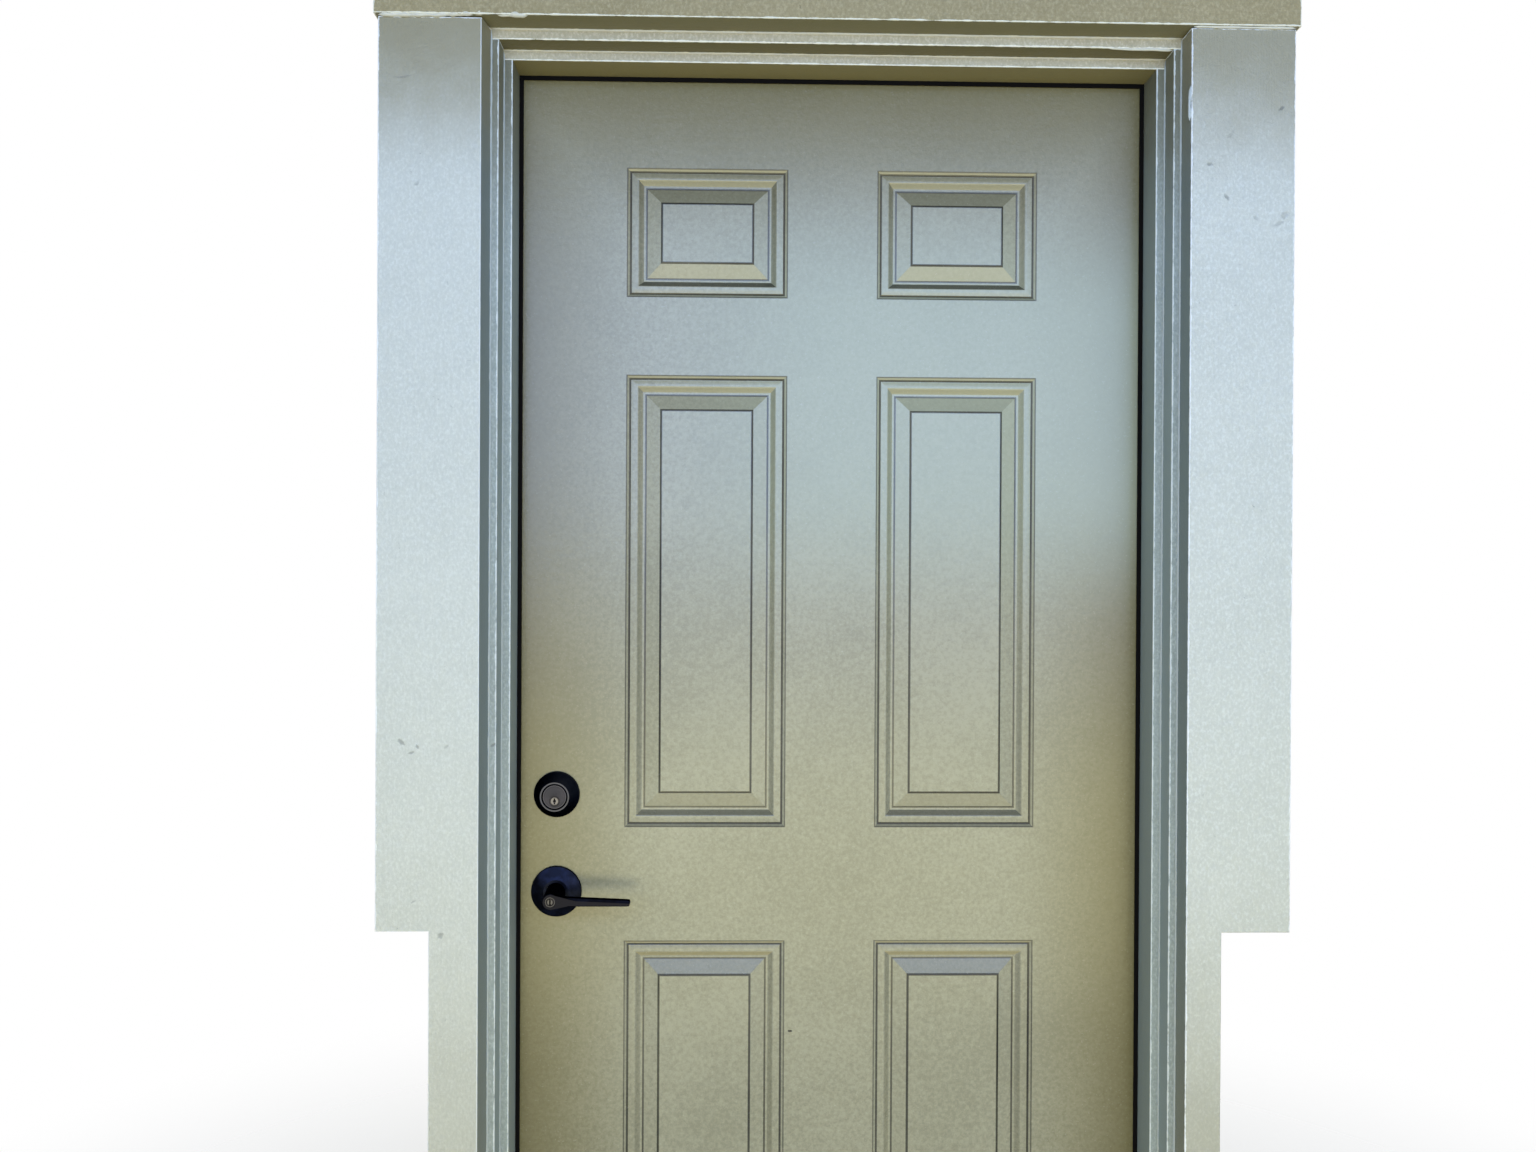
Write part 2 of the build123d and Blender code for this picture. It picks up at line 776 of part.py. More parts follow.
with BuildPart() as head_weatherstrip:
    with BuildSketch(Plane.YZ):
        with Locations((stop_depth + seal_thickness / 2, (head_seal_bottom + head_seal_top) / 2)):
            RectangleRounded(seal_thickness, head_seal_top - head_seal_bottom, bulb_radius)
        with Locations((seal_leg_middle, head_stop + kerf_inset)):
            Rectangle(seal_leg_reach, seal_leg_width)
    extrude(amount=half_seal, both=True)
save(head_weatherstrip.part, "head_weatherstrip")

# Stepped trim round the front of the jambs, the head piece over the side pieces


def side_trim(side):
    """One upright of the stepped trim."""
    with BuildPart() as trim:
        with BuildSketch():
            with Locations((side * (trim_inner + trim_outer) / 2, -trim_thickness / 2)):
                Rectangle(trim_width, trim_thickness)
        extrude(amount=head_trim_bottom)
        inner_edge = trim.edges().filter_by(Axis.Z).group_by(Axis.Y)[0].sort_by(Axis.X)[0 if side > 0 else -1]
        fillet(inner_edge, board_arris)
    return trim.part


save(side_trim(-1), "lock_stepped_trim")
save(side_trim(1), "hinge_stepped_trim")

with BuildPart() as head_stepped_trim:
    with BuildSketch(Plane.YZ):
        with Locations((-trim_thickness / 2, (head_trim_bottom + head_trim_top) / 2)):
            Rectangle(trim_thickness, trim_width)
    extrude(amount=trim_outer, both=True)
    fillet(head_stepped_trim.edges().filter_by(Axis.X).group_by(Axis.Y)[0].sort_by(Axis.Z)[0], board_arris)
save(head_stepped_trim.part, "head_stepped_trim")

# Casing boards, each side board narrower below its shoulder


def side_casing(side, foot_width, foot_height):
    """One side casing board with its narrow foot, its front arrises rounded over."""
    foot_outer = casing_inner + foot_width
    with BuildPart() as casing:
        with BuildSketch(Plane.XZ.offset(trim_thickness)):
            with BuildLine():
                Polyline(
                    (side * casing_inner, 0),
                    (side * casing_inner, casing_top),
                    (side * casing_outer, casing_top),
                    (side * casing_outer, foot_height),
                    (side * foot_outer, foot_height),
                    (side * foot_outer, 0),
                    close=True,
                )
            make_face()
        extrude(amount=casing_thickness)
        fillet(casing.faces().sort_by(Axis.Y)[0].edges(), board_arris)
    return casing.part


save(side_casing(-1, lock_casing_foot_width, lock_casing_foot_height), "lock_casing")
save(side_casing(1, hinge_casing_foot_width, hinge_casing_foot_height), "hinge_casing")

with BuildPart() as head_casing:
    with BuildSketch(Plane.XZ.offset(trim_thickness)):
        with Locations((0, head_casing_bottom + head_casing_height / 2)):
            Rectangle(2 * half_head_casing, head_casing_height)
    extrude(amount=casing_thickness + head_casing_proud)
    fillet(head_casing.faces().sort_by(Axis.Y)[0].edges(), board_arris)
save(head_casing.part, "head_casing")

# Sill: a sloping block between the jambs, with a metal tread and a cap under the leaf

half_sill_front = half_stop - sill_clearance
half_sill_back = half_rabbet - sill_clearance
cap_front = stop_depth + sill_clearance

with BuildPart() as sill_substrate:
    with BuildSketch(Plane.YZ):
        with BuildLine():
            Polyline(
                (-sill_nose, 0),
                (-sill_nose, sill_front_height),
                (sill_slope_end, sill_height),
                (jamb_depth, sill_height),
                (jamb_depth, 0),
                close=True,
            )
        make_face()
    extrude(amount=half_sill_back, both=True)
    for side in (1, -1):
        end_x = sorted((side * half_sill_front, side * half_sill_back))
        block(end_x, (-sill_nose, cap_front), (0, sill_height), mode=Mode.SUBTRACT)
save(sill_substrate.part, "sill_substrate")

tread_rise = (sill_height - sill_front_height) / (sill_slope_end + sill_nose)

with BuildPart() as sill_tread:
    with BuildSketch(Plane.YZ):
        with BuildLine():
            Polyline(
                (-sill_nose - tread_thickness, 0),
                (-sill_nose - tread_thickness, sill_front_height + tread_thickness),
                (sill_slope_end, sill_height + tread_thickness),
                (stop_depth - tread_thickness, sill_height + tread_thickness + tread_lip),
                (stop_depth, sill_height + tread_thickness + tread_lip),
                (stop_depth, sill_height),
                (sill_slope_end, sill_height),
                (-sill_nose, sill_front_height),
                (-sill_nose, 0),
                close=True,
            )
        make_face()
    extrude(amount=half_sill_front, both=True)
    for groove in range(tread_groove_count):
        groove_y = -sill_nose / 2 + groove * tread_groove_spacing
        groove_z = sill_front_height + tread_thickness + tread_rise * (groove_y + sill_nose)
        rod((-half_sill_front, groove_y, groove_z), (1, 0, 0), tread_groove, 2 * half_sill_front,
            mode=Mode.SUBTRACT)
save(sill_tread.part, "sill_tread")


def cap_screw_x(index):
    """Place of one height screw along the sill cap."""
    pitch = 2 * half_sill_back / cap_screw_count
    return -half_sill_back + (index + 0.5) * pitch


with BuildPart() as sill_cap:
    with BuildSketch(Plane.YZ):
        with BuildLine():
            Polyline(
                (cap_front, sill_height),
                (cap_front, cap_top - cap_bevel),
                (cap_front + cap_bevel, cap_top),
                (jamb_depth - cap_bevel, cap_top),
                (jamb_depth, cap_top - cap_bevel),
                (jamb_depth, sill_height),
                close=True,
            )
        make_face()
    extrude(amount=half_sill_back, both=True)
    for index in range(cap_screw_count):
        screw_top = (cap_screw_x(index), leaf_middle, cap_top)
        rod(screw_top, (0, 0, -1), cap_screw_radius + screw_clearance, cap_height / 2, mode=Mode.SUBTRACT)
        rod(screw_top, (0, 0, -1), cap_screw_shank + screw_clearance, cap_height, mode=Mode.SUBTRACT)
save(sill_cap.part, "sill_cap")

with BuildPart() as sill_cap_screws:
    for index in range(cap_screw_count):
        screw_top = (cap_screw_x(index), leaf_middle, cap_top)
        rod(screw_top, (0, 0, -1), cap_screw_radius, cap_height / 2)
        rod(screw_top, (0, 0, -1), cap_screw_shank, cap_height)
save(sill_cap_screws.part, "sill_cap_screws")

# Latch and deadbolt strikes in the lock jamb


def strike_plate(centre_z, thickness, height):
    """A strike plate with the opening for its bolt and two screw holes."""
    with BuildPart() as strike:
        faceplate_recess(-half_rabbet, centre_z, strike_length, strike_width, -plate_thickness, Mode.ADD)
        block((-half_rabbet - plate_thickness, -half_rabbet),
              (leaf_middle - thickness / 2 - strike_clearance, leaf_middle + thickness / 2 + strike_clearance),
              (centre_z - height / 2 - strike_clearance, centre_z + height / 2 + strike_clearance),
              mode=Mode.SUBTRACT)
        for side in (1, -1):
            point = Vector(-half_rabbet, leaf_middle, centre_z + side * (strike_length / 2 - faceplate_corner))
            countersunk_screw(point, (-1, 0, 0), plate_screw_length, screw_clearance, mode=Mode.SUBTRACT)
    return strike.part


lip_root = leaf_middle + latch_thickness / 2 + strike_clearance

with BuildPart() as latch_strike:
    add(strike_plate(lever_height, latch_thickness, latch_height))
    with BuildSketch(Plane.XY.offset(lever_height - strike_lip_height / 2)):
        with BuildLine():
            Polyline(
                (-half_rabbet, lip_root),
                (-half_rabbet, jamb_depth),
                (-half_rabbet - strike_lip_reach, jamb_depth + strike_lip_reach),
                (-half_rabbet - strike_lip_reach - plate_thickness, jamb_depth + strike_lip_reach),
                (-half_rabbet - plate_thickness, jamb_depth),
                (-half_rabbet - plate_thickness, lip_root),
                close=True,
            )
        make_face()
    extrude(amount=strike_lip_height)
save(latch_strike.part, "latch_strike")

with BuildPart() as deadbolt_strike:
    add(strike_plate(deadbolt_height_z, deadbolt_thickness, deadbolt_height))
save(deadbolt_strike.part, "deadbolt_strike")

with BuildPart() as strike_screws:
    for bore_z in (lever_height, deadbolt_height_z):
        for side in (1, -1):
            point = Vector(-half_rabbet, leaf_middle, bore_z + side * (strike_length / 2 - faceplate_corner))
            countersunk_screw(point, (-1, 0, 0), plate_screw_length)
save(strike_screws.part, "strike_screws")

# Latch and deadbolt cases: a faceplate crimped to a round housing in the edge bore


def bolt_channel(centre_z, thickness, height, end_x, mode=Mode.SUBTRACT):
    """The straight way of a bolt through its case, from the leaf's edge to an end."""
    block((-half_leaf, end_x),
          (leaf_middle - thickness / 2 - bolt_clearance, leaf_middle + thickness / 2 + bolt_clearance),
          (centre_z - height / 2 - bolt_clearance, centre_z + height / 2 + bolt_clearance),
          mode=mode)


def bolt_case(centre_z, thickness, height, channel_end):
    """A faceplate and round housing with the bolt's way through them."""
    case_end = lock_x - chassis_radius - bore_clearance
    with BuildPart() as case:
        faceplate_recess(-half_leaf, centre_z, faceplate_length, faceplate_width, plate_thickness, Mode.ADD)
        rod((-half_leaf + plate_thickness, leaf_middle, centre_z), (1, 0, 0), edge_bore_radius - bore_clearance,
            case_end + half_leaf - plate_thickness)
        bolt_channel(centre_z, thickness, height, channel_end)
        for point in plate_screw_points(-half_leaf, centre_z):
            countersunk_screw(point, (1, 0, 0), plate_screw_length, screw_clearance, mode=Mode.SUBTRACT)
    return case.part


latch_back = latch_tail - half_leaf
deadbolt_back = deadbolt_length - half_leaf

with BuildPart() as latch_housing:
    add(bolt_case(lever_height, latch_thickness, latch_height, latch_back + latch_throw + bolt_clearance))
save(latch_housing.part, "latch_housing")

with BuildPart() as deadbolt_housing:
    add(bolt_case(deadbolt_height_z, deadbolt_thickness, deadbolt_height, deadbolt_back + bolt_clearance))
    block((lock_x - chassis_radius - bore_clearance, lock_x + tang_reach),
          (leaf_middle - tang_thickness / 2, leaf_middle + tang_thickness / 2),
          (deadbolt_height_z - tang_height / 2, deadbolt_height_z + tang_height / 2))
    rod((lock_x, leaf_middle - tang_thickness, deadbolt_height_z), (0, 1, 0),
        thumbturn_spindle_radius + spindle_clearance, 2 * tang_thickness, mode=Mode.SUBTRACT)
save(deadbolt_housing.part, "deadbolt_housing")

with BuildPart() as faceplate_screws:
    for bore_z in (lever_height, deadbolt_height_z):
        for point in plate_screw_points(-half_leaf, bore_z):
            countersunk_screw(point, (1, 0, 0), plate_screw_length)
save(faceplate_screws.part, "faceplate_screws")

with BuildPart() as latch_bolt:
    with BuildSketch(Plane.XY.offset(lever_height - latch_height / 2)):
        tip_x = -half_leaf - latch_throw
        street_y = leaf_middle - latch_thickness / 2
        room_y = leaf_middle + latch_thickness / 2
        with BuildLine():
            Polyline(
                (-half_leaf - plate_thickness, street_y),
                (latch_back, street_y),
                (latch_back, room_y),
                (tip_x, room_y),
                (tip_x, room_y - latch_nose),
            )
            RadiusArc((tip_x, room_y - latch_nose), (-half_leaf - plate_thickness, street_y), -latch_face_radius)
        make_face()
    extrude(amount=latch_height)
save(latch_bolt.part, "latch_bolt")

with BuildPart() as deadbolt_bolt:
    with BuildSketch(Plane.YZ.offset(-half_leaf)):
        with Locations((leaf_middle, deadbolt_height_z)):
            RectangleRounded(deadbolt_thickness, deadbolt_height, deadbolt_corner)
    extrude(amount=deadbolt_length)
    chamfer(deadbolt_bolt.faces().sort_by(Axis.X)[0].edges(), deadbolt_arris)
save(deadbolt_bolt.part, "deadbolt_bolt")

# Lever lockset: a drum with spindles, a rose and a lever on each face

neck_base_y = leaf_front - neck_entry
hub_face_y = leaf_front - lever_projection
arm_back_y = hub_face_y + arm_depth
spindle_end_y = leaf_front - spindle_engagement
rose_hole_radius = neck_radius + rose_hole_clearance
drum_front = leaf_front + chassis_inset

with BuildPart() as lock_chassis:
    drum_length = leaf_thickness - 2 * chassis_inset
    rod((lock_x, drum_front, lever_height), (0, 1, 0), chassis_radius, drum_length)
    rod((lock_x, spindle_end_y, lever_height), (0, 1, 0), spindle_radius,
        leaf_thickness + 2 * spindle_engagement)
save(lock_chassis.part, "lock_chassis")


def rose(centre_z):
    """A round cover plate with a straight edge and a low cone up to the lever's neck."""
    with BuildPart() as plate:
        turned(lock_x, centre_z, (
            (rose_hole_radius, leaf_front),
            (rose_radius, leaf_front),
            (rose_radius, leaf_front - rose_edge + rose_arris),
            (rose_radius - rose_arris, leaf_front - rose_edge),
            (rose_crown, leaf_front - rose_rise),
            (rose_hole_radius, leaf_front - rose_rise),
        ))
    return plate.part


def post_places(centre_z):
    """Levels of the two through screws of a lock, above and below its axis."""
    return centre_z + post_spread, centre_z - post_spread


def through_screw_bores(centre_z, start_y, length):
    """Cut the two through screws' ways from a depth towards the street."""
    for post_z in post_places(centre_z):
        rod((lock_x, start_y, post_z), (0, -1, 0), through_screw_radius + screw_clearance, length,
            mode=Mode.SUBTRACT)


post_end_y = leaf_front + post_length

with BuildPart() as outer_rose:
    add(rose(lever_height))
    for post_z in post_places(lever_height):
        rod((lock_x, leaf_front - rose_edge / 2, post_z), (0, 1, 0), post_radius, post_length + rose_edge / 2)
    through_screw_bores(lever_height, post_end_y, post_length)
save(outer_rose.part, "outer_rose")

with BuildPart() as inner_rose:
    add(mirror(rose(lever_height), about=leaf_mirror, mode=Mode.PRIVATE))
    for post_z in post_places(lever_height):
        pan_screw((lock_x, leaf_back + rose_rise, post_z), (0, -1, 0), 2 * rose_rise, screw_clearance,
                  mode=Mode.SUBTRACT)
save(inner_rose.part, "inner_rose")


def through_screws(centre_z, head_y):
    """The two machine screws that draw a lock's outer and inner sides together."""
    with BuildPart() as screws:
        for post_z in post_places(centre_z):
            pan_screw((lock_x, head_y, post_z), (0, -1, 0), head_y - leaf_front - screw_clearance)
    return screws.part


save(through_screws(lever_height, leaf_back + rose_rise - screw_clearance), "rose_screws")

with BuildPart() as lever_arm:
    with BuildSketch(Plane(origin=(lock_x, arm_back_y, lever_height), x_dir=(1, 0, 0), z_dir=(0, -1, 0))):
        with BuildLine():
            Polyline(
                (0, neck_waist - arm_underside_bevel),
                (hub_flare_end, arm_root_top),
                (arm_length, arm_tip_top),
                (arm_length, -arm_bottom),
                (hub_flare_end, -arm_bottom),
                (0, arm_underside_bevel - neck_waist),
                close=True,
            )
        make_face()
    extrude(amount=arm_depth)
    front_edges = lever_arm.faces().sort_by(Axis.Y)[0].edges()
    underside_edge, top_edge = front_edges.sort_by(SortBy.LENGTH)[-2:].sort_by(Axis.Z)
    chamfer(top_edge, arm_bevel)
    chamfer(underside_edge, arm_underside_bevel)
    fillet(lever_arm.edges().filter_by(Axis.Y).group_by(Axis.X)[-1], arm_tip_radius)

with BuildPart() as lever_blank:
    turned(lock_x, lever_height, (
        (0, neck_base_y),
        (neck_radius, neck_base_y),
        (neck_radius, leaf_front - rose_rise),
        (neck_waist, arm_back_y),
        (hub_radius, hub_face_y + arm_underside_bevel),
        (hub_radius - arm_underside_bevel, hub_face_y),
        (0, hub_face_y),
    ))
    add(lever_arm.part)
    turned(lock_x, lever_height, (
        (0, neck_base_y),
        (spindle_radius + spindle_clearance, neck_base_y),
        (spindle_radius + spindle_clearance, spindle_end_y - spindle_clearance),
        (0, spindle_end_y - spindle_clearance),
    ), mode=Mode.SUBTRACT)
    rod((lock_x, hub_face_y, lever_height), (0, 1, 0), plug_radius + plug_clearance, plug_length,
        mode=Mode.SUBTRACT)

with BuildPart() as outer_lever:
    add(lever_blank.part)
save(outer_lever.part, "outer_lever")

with BuildPart() as inner_lever:
    add(mirror(lever_blank.part, about=leaf_mirror, mode=Mode.PRIVATE))
save(inner_lever.part, "inner_lever")


def keyway(centre_z, face_y):
    """Cut a key's slot into a plug's face."""
    block((lock_x - keyway_width / 2, lock_x + keyway_width / 2), (face_y, face_y + keyway_depth),
          (centre_z - keyway_height / 2, centre_z + keyway_height / 2), mode=Mode.SUBTRACT)


with BuildPart() as lever_key_plug:
    rod((lock_x, hub_face_y + plug_recess, lever_height), (0, 1, 0), plug_radius,
        plug_length - plug_recess - plug_clearance)
    keyway(lever_height, hub_face_y + plug_recess)
save(lever_key_plug.part, "lever_key_plug")

inner_hub_y = leaf_back + lever_projection

with BuildPart() as lever_turn_button:
    rod((lock_x, inner_hub_y - plug_recess, lever_height), (0, -1, 0), plug_radius,
        plug_length - plug_recess - plug_clearance)
    with BuildSketch(Plane.XZ.offset(-inner_hub_y + plug_recess)):
        with Locations((lock_x, lever_height)):
            SlotOverall(button_length, button_width, rotation=90)
    extrude(amount=-button_rise)
save(lever_turn_button.part, "lever_turn_button")

# Deadbolt: collar and cylinder outside, rose and thumbturn inside

collar_face_y = leaf_front - collar_projection
cylinder_face_y = leaf_front - cylinder_projection
collar_bore_radius = cylinder_radius + bore_clearance

with BuildPart() as deadbolt_collar:
    turned(lock_x, deadbolt_height_z, (
        (collar_bore_radius, leaf_front),
        (collar_radius, leaf_front),
        (collar_radius, leaf_front - collar_edge),
        (collar_rim_radius, collar_face_y),
        (collar_rim_radius - collar_rim_width, collar_face_y),
        (collar_bore_radius, collar_face_y + collar_groove_depth),
    ))
save(deadbolt_collar.part, "deadbolt_collar")

with BuildPart() as deadbolt_cylinder:
    rod((lock_x, cylinder_face_y, deadbolt_height_z), (0, 1, 0), cylinder_radius, cylinder_projection)
    rod((lock_x, leaf_front, deadbolt_height_z), (0, 1, 0), cylinder_flange_radius, cylinder_flange_thickness)
    rod((lock_x, leaf_front, deadbolt_height_z), (0, 1, 0), cylinder_body_radius, cylinder_reach)
    for post_z in post_places(deadbolt_height_z):
        rod((lock_x, leaf_front, post_z), (0, 1, 0), post_radius, post_length)
    through_screw_bores(deadbolt_height_z, post_end_y, post_length)
    rod((lock_x, cylinder_face_y, plug_centre_z), (0, 1, 0), deadbolt_plug_radius + plug_clearance, plug_length,
        mode=Mode.SUBTRACT)
save(deadbolt_cylinder.part, "deadbolt_cylinder")

with BuildPart() as deadbolt_key_plug:
    rod((lock_x, cylinder_face_y + plug_recess, plug_centre_z), (0, 1, 0), deadbolt_plug_radius,
        plug_length - plug_recess - plug_clearance)
    keyway(plug_centre_z, cylinder_face_y + plug_recess)
save(deadbolt_key_plug.part, "deadbolt_key_plug")

thumbturn_hole_radius = thumbturn_spindle_radius + spindle_clearance

with BuildPart() as deadbolt_inner_rose:
    turned(lock_x, deadbolt_height_z, (
        (thumbturn_hole_radius, leaf_back),
        (collar_radius, leaf_back),
        (collar_radius, leaf_back + inner_rose_edge),
        (collar_rim_radius + post_radius, leaf_back + inner_rose_rise),
        (thumbturn_hole_radius, leaf_back + inner_rose_rise),
    ))
    for post_z in post_places(deadbolt_height_z):
        pan_screw((lock_x, leaf_back + inner_rose_rise, post_z), (0, -1, 0), 2 * inner_rose_rise,
                  screw_clearance, mode=Mode.SUBTRACT)
save(deadbolt_inner_rose.part, "deadbolt_inner_rose")

save(through_screws(deadbolt_height_z, leaf_back + inner_rose_rise - screw_clearance), "deadbolt_screws")

thumbturn_start_y = leaf_middle - tang_thickness / 2
thumbturn_seat_y = leaf_back + inner_rose_rise + spindle_clearance

with BuildPart() as thumbturn:
    rod((lock_x, thumbturn_start_y, deadbolt_height_z), (0, 1, 0), thumbturn_spindle_radius,
        thumbturn_seat_y - thumbturn_start_y)
    rod((lock_x, thumbturn_seat_y, deadbolt_height_z), (0, 1, 0), thumbturn_foot, thumbturn_foot_rise)
    with BuildSketch(Plane.XZ.offset(-thumbturn_seat_y - thumbturn_foot_rise)):
        with Locations((lock_x, deadbolt_height_z)):
            SlotOverall(thumbturn_length, thumbturn_width, rotation=90)
    extrude(amount=thumbturn_foot_rise - thumbturn_rise)
    fillet(thumbturn.faces().sort_by(Axis.Y)[-1].edges(), thumbturn_arris)
save(thumbturn.part, "thumbturn")
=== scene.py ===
"""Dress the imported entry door: painted steel leaf, brushed timber boards, dark locks and a plain studio.

Every length is in metres unless its name says otherwise, and every piece stands in the frame's own axes:
X runs along the doorway, Y goes into the building and Z goes up.
"""

from __future__ import annotations

import json
import logging
import math
from dataclasses import dataclass
from enum import Enum
from typing import Any, Iterable, Iterator

import bmesh
import bpy
from mathutils import Matrix, Vector, noise

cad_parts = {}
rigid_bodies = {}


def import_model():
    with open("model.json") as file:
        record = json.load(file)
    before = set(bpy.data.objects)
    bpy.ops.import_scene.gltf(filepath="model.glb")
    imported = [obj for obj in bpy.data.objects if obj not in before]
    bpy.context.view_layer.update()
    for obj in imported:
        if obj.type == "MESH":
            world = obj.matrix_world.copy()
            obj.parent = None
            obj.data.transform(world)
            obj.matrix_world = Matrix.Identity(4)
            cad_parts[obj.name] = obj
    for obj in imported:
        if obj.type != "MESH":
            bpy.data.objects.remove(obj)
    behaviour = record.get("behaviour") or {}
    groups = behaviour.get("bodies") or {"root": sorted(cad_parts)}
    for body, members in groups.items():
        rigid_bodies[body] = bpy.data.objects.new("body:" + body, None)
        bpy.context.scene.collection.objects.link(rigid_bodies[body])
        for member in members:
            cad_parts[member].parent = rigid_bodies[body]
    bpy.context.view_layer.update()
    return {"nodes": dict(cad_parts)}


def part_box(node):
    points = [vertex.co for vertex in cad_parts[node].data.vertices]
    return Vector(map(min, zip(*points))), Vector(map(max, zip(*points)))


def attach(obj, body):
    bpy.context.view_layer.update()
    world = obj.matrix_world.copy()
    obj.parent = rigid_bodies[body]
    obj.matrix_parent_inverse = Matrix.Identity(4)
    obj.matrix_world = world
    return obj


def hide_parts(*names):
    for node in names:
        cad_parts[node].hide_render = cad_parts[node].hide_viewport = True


for leftover in list(bpy.data.objects):
    bpy.data.objects.remove(leftover, do_unlink=True)

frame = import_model()

log = logging.getLogger("door")

MM = 0.001


class Side(Enum):
    """The two sides of the doorway, as a sign along X."""

    LOCK = -1
    HINGE = 1


class Grain(Enum):
    """The way that a board's timber and brush marks run."""

    UP = "up"
    ALONG = "along"


def linear(hex_code: str) -> tuple[float, float, float, float]:
    """Turn an sRGB hex colour into linear light.

    Args:
        hex_code: A colour such as "#a1a18b".

    Returns:
        Red, green, blue and an opaque alpha.
    """
    channels = [int(hex_code[start:start + 2], 16) / 255 for start in (1, 3, 5)]
    red, green, blue = (
        value / 12.92 if value <= 0.04045 else ((value + 0.055) / 1.055) ** 2.4 for value in channels
    )
    return red, green, blue, 1.0


def cells(spacing_mm: float) -> float:
    """Give the texture scale whose cells are this many millimetres apart."""
    return 1000.0 / spacing_mm


def add_node(
    tree: bpy.types.NodeTree,
    kind: str,
    settings: dict[str, Any] | None = None,
    inputs: dict[str | int, Any] | None = None,
) -> bpy.types.Node:
    """Add a node with its settings, and set or link its inputs.

    Args:
        tree: The node tree of a material or of the world.
        kind: The node's type name.
        settings: Properties of the node.
        inputs: Values, or sockets to link, by input name or place.

    Returns:
        The new node.
    """
    node = tree.nodes.new(kind)
    for name, value in (settings or {}).items():
        setattr(node, name, value)
    for name, value in (inputs or {}).items():
        if isinstance(value, bpy.types.NodeSocket):
            tree.links.new(value, node.inputs[name])
        else:
            node.inputs[name].default_value = value
    return node


@dataclass(frozen=True)
class Finish:
    """What every finish shares: a name, and a material that is made once."""

    name: str

    def material(self) -> bpy.types.Material:
        """Make this finish's material, or find the one already made.

        Returns:
            The material.
        """
        made = bpy.data.materials.get(self.name)
        if made is not None:
            return made
        made = bpy.data.materials.new(self.name)
        made.use_nodes = True
        made.node_tree.nodes.clear()
        output = add_node(made.node_tree, "ShaderNodeOutputMaterial")
        made.node_tree.links.new(self.surface(made.node_tree), output.inputs["Surface"])
        return made

    def surface(self, tree: bpy.types.NodeTree) -> bpy.types.NodeSocket:
        """Build the shader and hand back its output."""
        raise NotImplementedError

    def dress(self, piece: bpy.types.Object) -> None:
        """Put this finish alone on a piece or on a node."""
        piece.data.materials.clear()
        piece.data.materials.append(self.material())


